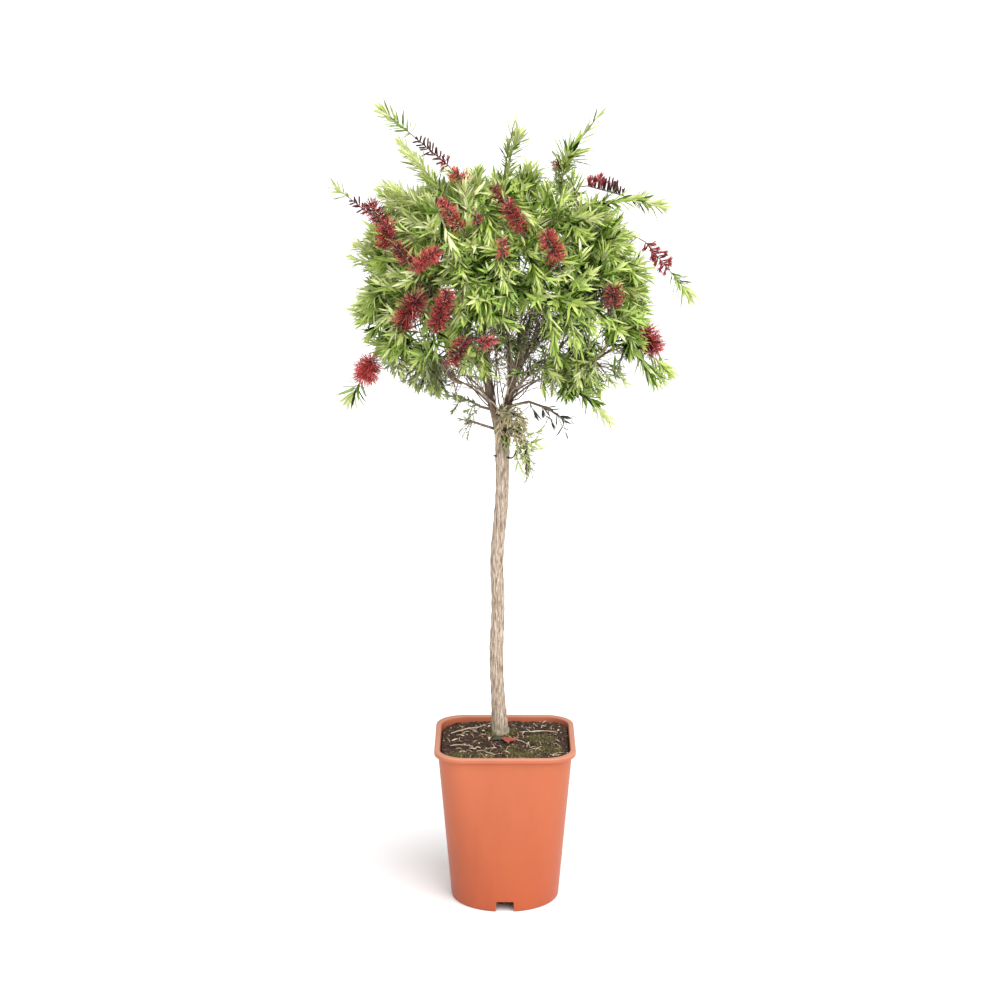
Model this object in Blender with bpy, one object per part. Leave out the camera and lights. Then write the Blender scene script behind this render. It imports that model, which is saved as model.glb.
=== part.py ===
"""A red bottlebrush shrub, grown as a half standard in a square-topped nursery pot.

Units are metres and +Z is up. The origin is the middle of the pot's underside.
A bearing is in degrees, seen from above: 0 points to -Y, the front, and 90 to +X.
"""

import math
import random
from dataclasses import dataclass, field

import bmesh
import bpy
from mathutils import Matrix, Vector
from mathutils.bvhtree import BVHTree

UP = Vector((0, 0, 1))
GAP = 0.0003  # clearance between neighbouring solids
GOLDEN_ANGLE = 137.508

# Pot: square with round corners at the rim, all but round at the base.
POT_HEIGHT = 0.260
RIM_WIDTH = 0.220
RIM_CORNER = 0.046
RIM_STEP = 0.006  # how far the rim stands out from the wall
RIM_DEPTH = 0.0075
BASE_RADIUS = 0.085
BASE_FLAT = 0.003  # half of the short flat that is left between two corners at the base
WALL = 0.0025
FLOOR = 0.003
EDGE = 0.002  # rounding of the rim and of the base's edge
CORNER_STEPS = 5

# One drain runs in from the wall on each of the pot's four sides.
DRAIN_FOOT = 0.030
DRAIN_HEAD = 0.0265
DRAIN_HEIGHT = 0.017
DRAIN_END = 0.050  # distance of the drain's inner end from the pot's axis
DRAIN_SLOT = (0.012, 0.006)
SIDES = 4

# Compost: level under the rim, with a low mound where the trunk stands.
SOIL_LEVEL = POT_HEIGHT - 0.015
MOUND = 0.007
MOUND_TOP = 0.019  # radius of the flat top on which the trunk stands
RIPPLE = 0.0015  # height of the ripples in the surface
RIPPLE_WAVES = (70, 90, 110, 150)  # how many radians of them there are to a metre
SOIL_RINGS = 5

# Trunk: its middle line from the cut at the compost to the fork, and its radius.
FOOT = Vector((-0.0066, 0.0220, SOIL_LEVEL + MOUND + GAP))
TRUNK_LINE = (
    FOOT,
    Vector((-0.0100, 0.0200, 0.305)),
    Vector((-0.0135, 0.0170, 0.385)),
    Vector((-0.0108, 0.0130, 0.470)),
    Vector((-0.0125, 0.0080, 0.550)),
    Vector((-0.0068, 0.0040, 0.640)),
    Vector((-0.0062, 0.0010, 0.710)),
    Vector((-0.0050, 0.0000, 0.757)),
)
TRUNK_RADIUS = (0.0108, 0.0096)
TRUNK_FLARE = 0.0045
FLARE_HEIGHT = 0.030
TRUNK_FLUTING = 0.05
TRUNK_SIDES = 10
TRUNK_STATIONS = 15

# The two limbs of the fork: middle line and radius.
LIMB_LINES = {
    "limb_left": (
        Vector((-0.0075, -0.001, 0.740)),
        Vector((-0.0150, -0.003, 0.776)),
        Vector((-0.0235, -0.006, 0.806)),
        Vector((-0.0300, -0.006, 0.848)),
    ),
    "limb_right": (
        Vector((-0.0020, 0.001, 0.740)),
        Vector((0.0035, 0.003, 0.780)),
        Vector((0.0090, 0.007, 0.815)),
        Vector((0.0240, 0.008, 0.858)),
    ),
}
LIMB_RADIUS = (0.0078, 0.0048)
LIMB_SIDES = 9
LIMB_STATIONS = 7

# Crown: a ball squared off at top and sides, and open below round the limbs.
CROWN_MIDDLE = 0.975
CROWN_RADIUS = 0.228
CROWN_RISE = 0.178
CROWN_SQUARENESS = 2.9
TIP_LAYERS = ((0.036, 94), (0.095, 24))  # how far inside the outline twigs end, and how many
TIP_SHIFT = 0.012  # each tip's seeded shift from its even place
TIP_SEED = 7
OPEN_RADIUS = 0.075  # under OPEN_HEIGHT no twig ends nearer the axis than this
OPEN_HEIGHT = 0.870
BRUSH_SPACE = 0.021  # no plain twig ends nearer a brush than this

# Tiers of masses: name, number, ring radius, height, first bearing, and the share of its
# limb at which a bough of the tier leaves it.
TIERS = (
    ("low", 8, 0.158, 0.868, 10, 0.45),
    ("middle", 9, 0.166, 0.978, 0, 0.70),
    ("high", 6, 0.108, 1.078, 25, 0.90),
    ("crest", 1, 0.000, 1.095, 0, 1.00),
)
BOUGH_RADIUS = (0.0031, 0.0021)
BOUGH_SIDES = 5
BOUGH_STATIONS = 4  # from the limb's surface on
BOUGH_SWAY = (0.30, 0.25)  # how far a bough runs on its limb's way before it bends, and on its own
BOUGH_LEAVES = 1.6  # radii of the limb that a bough runs through before it is out of it
LEAST_SHARE = 0.25  # no bough leaves its limb lower than this
BARE_SHARE = 0.42  # a bough runs bare for at least this share of the way to its mass
ENTRY_ROOM = 0.012  # and ends this far inside the mass's space
BOUGH_SHIFTS = (0, 0.08, -0.08, 0.16, -0.16, 0.24, -0.24, 0.32, -0.32, 0.40, -0.40)

# Small shoots straight from the old wood: name, middle of the space, and the stem's line,
# which starts inside the wood.
OLD_WOOD_SHOOTS = (
    (
        "shoot_trunk_right",
        (0.036, -0.012, 0.705),
        ((0.000, 0.000, 0.745), (0.022, -0.014, 0.744), (0.036, -0.013, 0.712), (0.033, -0.012, 0.69)),
    ),
    (
        "shoot_trunk_left",
        (-0.062, -0.008, 0.762),
        ((-0.009, -0.002, 0.743), (-0.032, -0.006, 0.752), (-0.052, -0.008, 0.762), (-0.064, -0.008, 0.758)),
    ),
    (
        "shoot_limb_right",
        (0.085, -0.010, 0.772),
        ((0.005, 0.003, 0.788), (0.036, -0.006, 0.797), (0.066, -0.010, 0.787), (0.090, -0.012, 0.770)),
    ),
    (
        "shoot_limb_left",
        (-0.068, -0.012, 0.800),
        ((-0.014, -0.003, 0.771), (-0.036, -0.014, 0.780), (-0.055, -0.014, 0.792), (-0.070, -0.014, 0.795)),
    ),
)

# Twigs, leaves and brushes.
STEM_RADIUS = (0.0025, 0.0019)
TWIG_RADIUS = (0.0013, 0.0010)
STEM_SIDES = 4
STEM_SWAY = 0.5  # share of the way that a stem keeps to its bough's heading before it bends
TWIG_FIRST = 0.15  # the first and last share of a stem at which twigs leave it
TWIG_LAST = 0.97
TWIG_SIDES = 3
TWIG_LEAD = 0.7  # how far back along its stem a twig leaves, for each unit that its tip lies aside
TWIG_SWAY = (0.35, 0.15, 0.06)  # a twig's bend: along its stem, towards its tip, and up
STEM_STATIONS = 4
TWIG_STATIONS = 3
LEAF_LENGTH = 0.064
LEAF_WIDTH = 0.0185
LEAF_THICKNESS = 0.0011
LEAF_BELLY = 0.42  # share of its length at which a leaf is widest
LEAF_SLANT = 48  # degrees from its twig's heading
TIP_SLANT = 8
SLANT_RANGE = (0.8, 1.15)
LEAF_SHARES = (0.48, 0.62, 0.76, 0.90)
BRUSH_TWIG_SHARES = (0.25, 0.40, 0.84, 0.93)
SHOOT_SHARES = (0.3, 0.45, 0.6, 0.7, 0.8, 0.9)
LEAF_SIZES = (1, 1, 0.85, 0.85, 0.7, 0.7)  # what is tried in turn until a leaf fits
SMALL_LEAF = 0.55
LEAF_SUNK = 0.0008  # a leaf's root lies this far past the twig's middle line
BRUSH_RADIUS = 0.0175
BRUSH_POINTS = 4
BRUSH_WAIST = 0.60  # radius between two points of the brush's section, as a share
BRUSH_PROFILE = ((0, 0.60), (0.5, 1), (1, 0.55))  # share of its length, and of its radius
BRUSH_DEPTH = 0.026  # a brush's middle lies this far inside the crown's outline
BRUSH_LIFT = 0.30  # outward part of a brush's heading
SHOOT_BEYOND = 0.018  # twig beyond the brush's end
MASS_SEED = 100
LEAF_FACES = ((0, 4, 2), (0, 3, 4), (0, 2, 3), (1, 2, 4), (1, 4, 3), (1, 3, 2))
MARGIN = 0.0006  # least distance of a piece from the edge of its mass's space
LIMB_ROOM = 0.0008  # least distance of a twig or leaf from a limb

# Long shoots that stand out of the crown: bearing, reach and height of the tip, and of the
# middle of the brush that the shoot carries.
LONG_SHOOTS = (
    ((270, 0.188, 1.247), (270, 0.105, 1.170)),
    ((270, 0.265, 1.125), (272, 0.200, 1.078)),
    ((80, 0.020, 1.224), None),
    ((90, 0.136, 1.232), None),
    ((88, 0.244, 1.090), (85, 0.150, 1.128)),
    ((91, 0.287, 0.944), (88, 0.232, 1.014)),
    ((270, 0.246, 0.784), (272, 0.218, 0.842)),
    ((92, 0.272, 0.820), (90, 0.218, 0.886)),
    ((90, 0.163, 0.762), None),
    ((350, 0.262, 0.985), None),
    ((18, 0.255, 0.860), None),
    ((325, 0.270, 1.075), None),
    ((165, 0.290, 1.020), (165, 0.225, 1.010)),
    ((202, 0.270, 0.900), None),
    ((185, 0.240, 1.090), None),
)
LONG_BRUSH = 0.045
LAST_LEAF = 0.8  # share of the way from a brush to its shoot's tip that the last leaf may fill

# Brushes on the crown's outside: bearing, height, length, and lean from upright, clockwise
# as seen from outside. Every third one is met again on the far side.
BRUSHES = (
    (325, 1.080, 0.050, -40),
    (4, 1.085, 0.050, -35),
    (330, 1.122, 0.030, -30),
    (353, 1.112, 0.030, 20),
    (312, 1.030, 0.034, -30),
    (325, 1.018, 0.050, 48),
    (359, 1.035, 0.028, 0),
    (18, 1.035, 0.050, -20),
    (52, 0.955, 0.042, -15),
    (318, 0.945, 0.052, 45),
    (336, 0.950, 0.058, 15),
    (340, 0.880, 0.044, 40),
    (354, 0.895, 0.030, -80),
)
FAR_SIDE = 188  # turn from a brush to the one that repeats it
FAR_EVERY = 3
BRUSH_MOVES = (0, 0.009, -0.009, 0.018, -0.018, 0.027, -0.027)

COLOURS = {
    "terracotta_plastic": ((0.76, 0.24, 0.13), 0.45),
    "compost": ((0.13, 0.08, 0.05), 0.95),
    "bark": ((0.45, 0.36, 0.27), 0.85),
    "foliage": ((0.27, 0.38, 0.08), 0.55),
}


@dataclass
class Limb:
    """A tapering round limb: its middle line, and its radius at each point of that."""

    line: list
    radii: list

    def at(self, share):
        """The point at a share of the line, and the way the line heads there."""
        place = share * (len(self.line) - 1)
        span = min(int(place), len(self.line) - 2)
        start, end = self.line[span], self.line[span + 1]
        return start.lerp(end, place - span), (end - start).normalized()

    def radius(self, share):
        """The limb's radius at a share of its line."""
        place = share * (len(self.line) - 1)
        span = min(int(place), len(self.line) - 2)
        return self.radii[span] + (self.radii[span + 1] - self.radii[span]) * (place - span)


@dataclass
class Mass:
    """A mass of foliage, with the middle of its space and the twig tips that fall in it."""

    name: str
    middle: Vector
    share: float = 1.0
    bough: Limb = None
    stem: Limb = None
    tips: list = field(default_factory=list)


@dataclass
class Tip:
    """Where a twig ends, the two ends of a brush that it runs through, and its leaves' size."""

    end: Vector
    brush: tuple = None
    leaf: float = 1.0


# ---------------------------------------------------------------- objects and Booleans


def material(name):
    """The named Principled material, made the first time it is asked for."""
    found = bpy.data.materials.get(name)
    if found:
        return found
    colour, roughness = COLOURS[name]
    made = bpy.data.materials.new(name)
    made.use_nodes = True
    shader = made.node_tree.nodes["Principled BSDF"]
    shader.inputs["Base Color"].default_value = (*colour, 1)
    shader.inputs["Roughness"].default_value = roughness
    return made


def add_object(name, shape, material_name):
    """Turns a bmesh into an object of the scene."""
    bmesh.ops.recalc_face_normals(shape, faces=shape.faces)
    mesh = bpy.data.meshes.new(name)
    shape.to_mesh(mesh)
    shape.free()
    mesh.materials.append(material(material_name))
    made = bpy.data.objects.new(name, mesh)
    bpy.context.scene.collection.objects.link(made)
    return made


def smooth(made, degrees):
    """Shades a round piece smooth, apart from edges sharper than the angle."""
    made.data.shade_smooth()
    made.data.set_sharp_from_angle(angle=math.radians(degrees))


def combine(body, others, operation, solver="EXACT"):
    """Applies one Boolean of the body with a collection of objects, and removes those."""
    group = bpy.data.collections.new("operands")
    bpy.context.scene.collection.children.link(group)
    for other in others:
        group.objects.link(other)
    boolean = body.modifiers.new("combine", "BOOLEAN")
    boolean.operation = operation
    boolean.operand_type = "COLLECTION"
    boolean.collection = group
    boolean.solver = solver
    bpy.context.view_layer.objects.active = body
    bpy.ops.object.modifier_apply(modifier=boolean.name)
    for other in others:
        bpy.data.meshes.remove(other.data)
    bpy.data.collections.remove(group)


def loft(shape, rings):
    """Joins rings of equally many points into one closed body with flat ends."""
    rows = [[shape.verts.new(point) for point in ring] for ring in rings]
    for lower, upper in zip(rows, rows[1:]):
        for left in range(len(lower)):
            right = (left + 1) % len(lower)
            shape.faces.new((lower[left], lower[right], upper[right]))
            shape.faces.new((lower[left], upper[right], upper[left]))
    shape.faces.new(reversed(rows[0]))
    shape.faces.new(rows[-1])


# ---------------------------------------------------------------- lines and limbs


def bearing_point(bearing, radius, height):
    """The point at a bearing and a height, this far from the pot's axis."""
    turn = math.radians(bearing)
    return Vector((radius * math.sin(turn), -radius * math.cos(turn), height))


def spread(low, high, count):
    """Evenly spaced values from low to high."""
    return [low + (high - low) * step / (count - 1) for step in range(count)]


def spline(points, count):
    """Points along a smooth curve that runs through the given ones."""
    spans = len(points) - 1
    line = []
    for place in spread(0, spans, count):
        span = min(int(place), spans - 1)
        part = place - span
        before, start = points[max(span - 1, 0)], points[span]
        end, after = points[span + 1], points[min(span + 2, spans)]
        slope = (end - before) * part
        curve = (2 * before - 5 * start + 4 * end - after) * part**2
        twist = (3 * start - before - 3 * end + after) * part**3
        line.append((2 * start + slope + curve + twist) / 2)
    return line


def arc(start, bend, end, count):
    """Points along a curve that leaves the start towards the bend and arrives from it."""
    return [start.lerp(bend, part).lerp(bend.lerp(end, part), part) for part in spread(0, 1, count)]


def tube_rings(limb, sides, heading=None, fluting=0.0):
    """Rings round a limb's line. The first ring is square to the heading, where one is given."""
    rings = []
    side = Vector((1, 0, 0))
    last = len(limb.line) - 1
    for index, (middle, radius) in enumerate(zip(limb.line, limb.radii)):
        along = (limb.line[min(index + 1, last)] - limb.line[max(index - 1, 0)]).normalized()
        if index == 0 and heading:
            along = heading
        if abs(side.dot(along)) > 0.95:
            side = along.orthogonal()
        side = (side - along * side.dot(along)).normalized()
        across = along.cross(side)
        ring = []
        for step in range(sides):
            turn = math.tau * step / sides
            reach = radius * (1 + fluting * math.sin(3 * turn + 2.5 * index))
            ring.append(middle + reach * (side * math.cos(turn) + across * math.sin(turn)))
        rings.append(ring)
    return rings


def inflated(limb):
    """A copy of the limb that is larger by the gap all over."""
    return Limb(list(limb.line), [radius + GAP for radius in limb.radii])


def trunk_limb():
    """The trunk's line and radius, with the flare at its foot."""
    line = spline(TRUNK_LINE, TRUNK_STATIONS)
    radii = []
    for point, radius in zip(line, spread(*TRUNK_RADIUS, TRUNK_STATIONS)):
        radii.append(radius + TRUNK_FLARE * math.exp(-(point.z - FOOT.z) / FLARE_HEIGHT))
    return Limb(line, radii)


def fork_limb(name):
    """One of the fork's two limbs."""
    return Limb(spline(LIMB_LINES[name], LIMB_STATIONS), spread(*LIMB_RADIUS, LIMB_STATIONS))


def segment_distance(start, end, low, high):
    """The least distance between two straight segments."""
    one, two, between = end - start, high - low, start - low
    one_sq, two_sq = one.length_squared, two.length_squared
    cross, lift = one.dot(two), two.dot(between)
    slope = one.dot(between)
    spare = one_sq * two_sq - cross * cross
    share = min(max((cross * lift - slope * two_sq) / spare, 0), 1) if spare > 1e-14 else 0.0
    other = (cross * share + lift) / two_sq
    if other < 0 or other > 1:
        other = min(max(other, 0), 1)
        share = min(max((cross * other - slope) / one_sq, 0), 1)
    return (start + one * share - low - two * other).length


def limb_clearance(start, end, limb, first=0):
    """How far a segment stays from a limb's surface, from the limb's given station on."""
    least = 1.0
    for index in range(first, len(limb.line) - 1):
        apart = segment_distance(start, end, limb.line[index], limb.line[index + 1])
        least = min(least, apart - max(limb.radii[index], limb.radii[index + 1]))
    return least


# ---------------------------------------------------------------- the crown's plan


def crown_radius(height, inset=0.0):
    """Radius of the crown's outline at a height, or of one that lies this far inside it."""
    level = min(abs(height - CROWN_MIDDLE) / (CROWN_RISE - inset), 1)
    return (CROWN_RADIUS - inset) * (1 - level**CROWN_SQUARENESS) ** (1 / CROWN_SQUARENESS)


def plan_masses():
    """The masses, tier by tier, then the small ones on the old wood."""
    masses = []
    for tier, number, radius, height, bearing, share in TIERS:
        for index in range(number):
            name = f"mass_{tier}_{index + 1}"
            middle = bearing_point(bearing + 360 * index / number, radius, height)
            masses.append(Mass(name, middle, share))
    for name, middle, line in OLD_WOOD_SHOOTS:
        stem = Limb([Vector(point) for point in line], spread(*STEM_RADIUS, len(line)))
        masses.append(Mass(name, Vector(middle), stem=stem))
    return masses


def room(point, mass, masses):
    """Distance from a point to the nearest edge of a mass's space, negative outside it."""
    least = 1.0
    for other in masses:
        if other is not mass:
            apart = other.middle - mass.middle
            edge = (other.middle + mass.middle) / 2
            least = min(least, (edge - point).dot(apart) / apart.length)
    return least


def owner(point, masses):
    """The mass in whose space a point lies."""
    return min(masses, key=lambda mass: (mass.middle - point).length)


def brush_frame(bearing, lean):
    """The heading of a brush on the crown's outside, and two directions to shift it in."""
    outward = bearing_point(bearing, 1, 0)
    right = UP.cross(outward)
    turn = math.radians(lean)
    heading = UP * math.cos(turn) + right * math.sin(turn) + outward * BRUSH_LIFT
    return heading.normalized(), right


def plan_brushes(masses):
    """Gives each brush on the crown's outside to the mass in whose space it fits."""
    places = list(BRUSHES)
    for bearing, height, length, lean in BRUSHES[::FAR_EVERY]:
        places.append((bearing + FAR_SIDE, height, length, -lean))
    for bearing, height, length, lean in places:
        heading, right = brush_frame(bearing, lean)
        wanted = bearing_point(bearing, crown_radius(height) - BRUSH_DEPTH, height)
        for sideways in BRUSH_MOVES:
            for upward in BRUSH_MOVES:
                middle = wanted + right * sideways + UP * upward
                mass = owner(middle, masses)
                ends = [middle + heading * length * side for side in (-0.5, 0.5)]
                if min(room(end, mass, masses) for end in ends) > BRUSH_RADIUS + MARGIN:
                    break
            else:
                continue
            mass.tips.append(Tip(ends[1] + heading * SHOOT_BEYOND, tuple(ends)))
            break


def plan_long_shoots(masses):
    """Gives each long shoot to the mass that holds its tip."""
    for tip_place, brush_place in LONG_SHOOTS:
        tip = bearing_point(*tip_place)
        mass = owner(tip, masses)
        if brush_place is None:
            heading = (tip - mass.middle).normalized()
            mass.tips.append(Tip(tip - heading * LEAF_LENGTH))
            continue
        middle = bearing_point(*brush_place)
        heading = (tip - middle).normalized()
        brush = (middle - heading * LONG_BRUSH / 2, middle + heading * LONG_BRUSH / 2)
        leaf = min(1, LAST_LEAF * (tip - brush[1]).length / LEAF_LENGTH)
        mass.tips.append(Tip(tip - heading * LEAF_LENGTH * leaf, brush, leaf))


def plan_tips(masses, rng):
    """Spreads twig tips evenly over the crown by the golden angle, and shares them out."""
    brushes = [tip.brush for mass in masses for tip in mass.tips if tip.brush]
    power = CROWN_SQUARENESS
    for inset, count in TIP_LAYERS:
        for index in range(count):
            rise = 1 - 2 * (index + 0.5) / count
            flat = math.sqrt(1 - rise**2)
            scale = (flat**power + abs(rise) ** power) ** (-1 / power)
            radius = (CROWN_RADIUS - inset) * flat * scale
            height = CROWN_MIDDLE + (CROWN_RISE - inset) * rise * scale
            tip = bearing_point(index * GOLDEN_ANGLE, radius, height)
            tip += Vector([rng.uniform(-TIP_SHIFT, TIP_SHIFT) for _ in range(3)])
            if radius < OPEN_RADIUS and height < OPEN_HEIGHT:
                continue
            if all(segment_distance(tip, tip + UP * GAP, *brush) > BRUSH_SPACE for brush in brushes):
                owner(tip, masses).tips.append(Tip(tip))


# ---------------------------------------------------------------- growth


def bough_line(mass, limb, share, masses):
    """A bough that leaves a limb at a slant and ends just inside its mass's space."""
    root, heading = limb.at(share)
    reach = next(
        part for part in spread(BARE_SHARE, 1, 30)
        if room(root.lerp(mass.middle, part), mass, masses) > ENTRY_ROOM or part == 1
    )
    end = root.lerp(mass.middle, reach)
    away = end - root
    bend = root + heading * BOUGH_SWAY[0] * away.length + away * BOUGH_SWAY[1]
    inside = min(BOUGH_LEAVES * limb.radius(share) / away.length, 0.5)
    surface = root.lerp(bend, 2 * inside)
    return [root, *arc(surface, bend, end, BOUGH_STATIONS)]


def crowding(bough, others, grown):
    """How near a bough comes to limbs and to grown boughs, past the stretch inside its limb."""
    least = 1.0
    for start, end, radius in zip(bough.line[1:], bough.line[2:], bough.radii[1:]):
        for limb in others:
            least = min(least, limb_clearance(start, end, limb) - radius)
        for limb in grown:
            least = min(least, limb_clearance(start, end, limb, 1) - radius)
    return least


def grow_boughs(masses, limbs):
    """One bough for each mass in the tiers, as clear of the others as its limb allows."""
    grown = []
    for mass in masses:
        if mass.stem:
            continue
        name = "limb_left" if mass.middle.x < 0 else "limb_right"
        others = [limb for key, limb in limbs.items() if key != name]
        most = None
        for shift in BOUGH_SHIFTS:
            share = min(max(mass.share + shift, LEAST_SHARE), 1)
            line = bough_line(mass, limbs[name], share, masses)
            bough = Limb(line, spread(*BOUGH_RADIUS, len(line)))
            clear = crowding(bough, others, grown)
            if most is None or clear > most:
                most = clear
                mass.bough = bough
            if clear > 2 * GAP:
                break
        grown.append(mass.bough)


# ---------------------------------------------------------------- pot and compost


def square_ring(half, corner, height):
    """Points round a square with round corners, at one height."""
    ring = []
    for quarter in range(SIDES):
        side_x = 1 if quarter in (0, 3) else -1
        side_y = 1 if quarter in (0, 1) else -1
        for step in range(CORNER_STEPS + 1):
            turn = math.radians(90 * (quarter + step / CORNER_STEPS))
            x = side_x * (half - corner) + corner * math.cos(turn)
            y = side_y * (half - corner) + corner * math.sin(turn)
            ring.append(Vector((x, y, height)))
    return ring


def wall_ring(height, inset=0.0, level=None):
    """The ring of the pot's wall at a height, this far inside it, drawn at its own level."""
    share = height / POT_HEIGHT
    base_corner = BASE_RADIUS - BASE_FLAT
    half = BASE_RADIUS + (RIM_WIDTH / 2 - RIM_STEP - BASE_RADIUS) * share
    corner = base_corner + (RIM_CORNER - RIM_STEP - base_corner) * share
    return square_ring(half - inset, corner - inset, height if level is None else level)


def block(foot_width, head_width, low, high, start, end, quarter):
    """A block with sloping sides that lies along one of the pot's four drains."""
    shape = bmesh.new()
    rings = []
    for height, width in ((low, foot_width), (high, head_width)):
        corners = ((start, -width), (end, -width), (end, width), (start, width))
        rings.append([Vector((x, y / 2, height)) for x, y in corners])
    loft(shape, rings)
    turn = Matrix.Rotation(math.radians(90 * quarter), 3, "Z")
    bmesh.ops.rotate(shape, verts=shape.verts, matrix=turn)
    return add_object(f"block_{quarter}", shape, "terracotta_plastic")


def drain_housings(grow):
    """The raised ceilings over the four drains, larger all over by this much."""
    wall = 2 * (WALL + grow)
    return [
        block(
            DRAIN_FOOT + wall,
            DRAIN_HEAD + wall,
            FLOOR / 2,
            DRAIN_HEIGHT + WALL + grow,
            DRAIN_END - WALL - grow,
            BASE_RADIUS - WALL / 2 + 2 * grow,
            quarter,
        )
        for quarter in range(SIDES)
    ]


def build_pot():
    """A thin-walled pot with a rolled rim and four drains under a flat floor."""
    wall_top = POT_HEIGHT - RIM_DEPTH
    half = RIM_WIDTH / 2
    rings = [
        wall_ring(0, EDGE),
        wall_ring(EDGE),
        wall_ring(wall_top / 2),
        wall_ring(wall_top),
        square_ring(half - EDGE / 2, RIM_CORNER - EDGE / 2, wall_top),
        square_ring(half, RIM_CORNER, wall_top + EDGE),
        square_ring(half, RIM_CORNER, POT_HEIGHT - EDGE),
        square_ring(half - EDGE, RIM_CORNER - EDGE, POT_HEIGHT),
        wall_ring(POT_HEIGHT, WALL - EDGE / 2),
        wall_ring(POT_HEIGHT - EDGE, WALL),
        wall_ring(wall_top / 2, WALL),
        wall_ring(FLOOR + EDGE, WALL),
        wall_ring(FLOOR, WALL + EDGE),
    ]
    shape = bmesh.new()
    loft(shape, rings)
    pot = add_object("pot", shape, "terracotta_plastic")
    combine(pot, drain_housings(0), "UNION")
    width, depth = DRAIN_SLOT
    start = DRAIN_END + WALL
    cutters = []
    for quarter in range(SIDES):
        over = BASE_RADIUS + WALL
        low = DRAIN_FOOT + (DRAIN_FOOT - DRAIN_HEAD) * WALL / DRAIN_HEIGHT
        cutters.append(block(low, DRAIN_HEAD, -WALL, DRAIN_HEIGHT, DRAIN_END, over, quarter))
        top = DRAIN_HEIGHT + 2 * WALL
        cutters.append(block(width, width, DRAIN_HEIGHT - WALL, top, start, start + depth, quarter))
    combine(pot, cutters, "DIFFERENCE")
    smooth(pot, 35)


def soil_height(x, y):
    """Height of the compost's surface, away from the flat top of its mound."""
    out = math.hypot(x - FOOT.x, y - FOOT.y)
    rise = MOUND * math.exp(-(((out - MOUND_TOP) / (2 * MOUND_TOP)) ** 2))
    broad_x, broad_y, fine_x, fine_y = RIPPLE_WAVES
    ripple = math.sin(broad_x * x + 1) * math.cos(broad_y * y) + math.sin(fine_y * y - fine_x * x)
    return SOIL_LEVEL + rise + RIPPLE * ripple / 2


def build_soil():
    """The compost that fills the pot, clear of its wall, floor and drain housings."""
    inset = WALL + GAP
    rings = [
        wall_ring(FLOOR, inset + EDGE, FLOOR + GAP),
        wall_ring(FLOOR + EDGE, inset, FLOOR + EDGE + GAP),
        wall_ring(POT_HEIGHT / 2, inset),
    ]
    edge = wall_ring(SOIL_LEVEL, inset)
    for share in spread(1, 0, SOIL_RINGS):
        ring = []
        for point in edge:
            out = Vector((point.x - FOOT.x, point.y - FOOT.y))
            near = out.normalized() * MOUND_TOP
            x, y = Vector((FOOT.x, FOOT.y)) + near.lerp(out, share)
            height = soil_height(x, y) if share else SOIL_LEVEL + MOUND
            ring.append(Vector((x, y, height)))
        rings.append(ring)
    shape = bmesh.new()
    loft(shape, rings)
    soil = add_object("soil", shape, "compost")
    combine(soil, drain_housings(GAP), "DIFFERENCE")
    smooth(soil, 40)


# ---------------------------------------------------------------- wood


def tube(name, limb, sides, heading=None, fluting=0.0):
    """The solid of a limb."""
    shape = bmesh.new()
    loft(shape, tube_rings(limb, sides, heading, fluting))
    made = add_object(name, shape, "bark")
    smooth(made, 50)
    return made


def cut_back(made, limbs, boughs=()):
    """Cuts a solid back until it is a gap away from the trunk, the fork and these boughs."""
    carriers = [tube("carrier", inflated(limbs[name]), LIMB_SIDES) for name in limbs if name != "trunk"]
    trunk = tube("carrier", inflated(limbs["trunk"]), TRUNK_SIDES, UP, TRUNK_FLUTING)
    trunk.location.z = GAP
    carriers += [trunk] + [tube("carrier", inflated(bough), BOUGH_SIDES) for bough in boughs]
    combine(made, carriers, "DIFFERENCE")
    largest_body(made)


def crosses(bough, other):
    """Whether a bough touches another one anywhere."""
    spans = zip(bough.line, bough.line[1:])
    return any(limb_clearance(*span, other) < BOUGH_RADIUS[0] + 2 * GAP for span in spans)


def build_wood(limbs, masses):
    """Trunk, fork and boughs, each cut back from what carries it."""
    tube("trunk", limbs["trunk"], TRUNK_SIDES, UP, TRUNK_FLUTING)
    below = {"trunk": limbs["trunk"]}
    for name in LIMB_LINES:
        cut_back(tube(name, limbs[name], LIMB_SIDES), below)
        below[name] = limbs[name]
    grown = []
    for mass in masses:
        if mass.bough:
            crossed = [other for other in grown if crosses(mass.bough, other)]
            made = tube(mass.name.replace("mass", "bough"), mass.bough, BOUGH_SIDES)
            cut_back(made, limbs, crossed)
            grown.append(mass.bough)


# ---------------------------------------------------------------- foliage


def leaf_points(root, along, face, size):
    """A leaf's five corners: root, tip, its two edges, and its ridge."""
    across = along.cross(face).normalized()
    belly = root + along * LEAF_LENGTH * LEAF_BELLY * size
    half = across * LEAF_WIDTH * size / 2
    ridge = across.cross(along) * LEAF_THICKNESS
    return [root, root + along * LEAF_LENGTH * size, belly + half, belly - half, belly + ridge]


def leaf_solid(points):
    """The solid of a leaf with these corners."""
    shape = bmesh.new()
    corners = [shape.verts.new(point) for point in points]
    for face in LEAF_FACES:
        shape.faces.new([corners[index] for index in face])
    return add_object("leaf", shape, "foliage")


def brush_rings(start, end):
    """Star-shaped rings along a brush."""
    along = (end - start).normalized()
    side = along.orthogonal().normalized()
    across = along.cross(side)
    rings = []
    for share, width in BRUSH_PROFILE:
        ring = []
        for step in range(2 * BRUSH_POINTS):
            reach = BRUSH_RADIUS * width * (BRUSH_WAIST if step % 2 else 1)
            turn = math.pi * step / BRUSH_POINTS
            out = side * math.cos(turn) + across * math.sin(turn)
            ring.append(start.lerp(end, share) + reach * out)
        rings.append(ring)
    return rings


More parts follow.
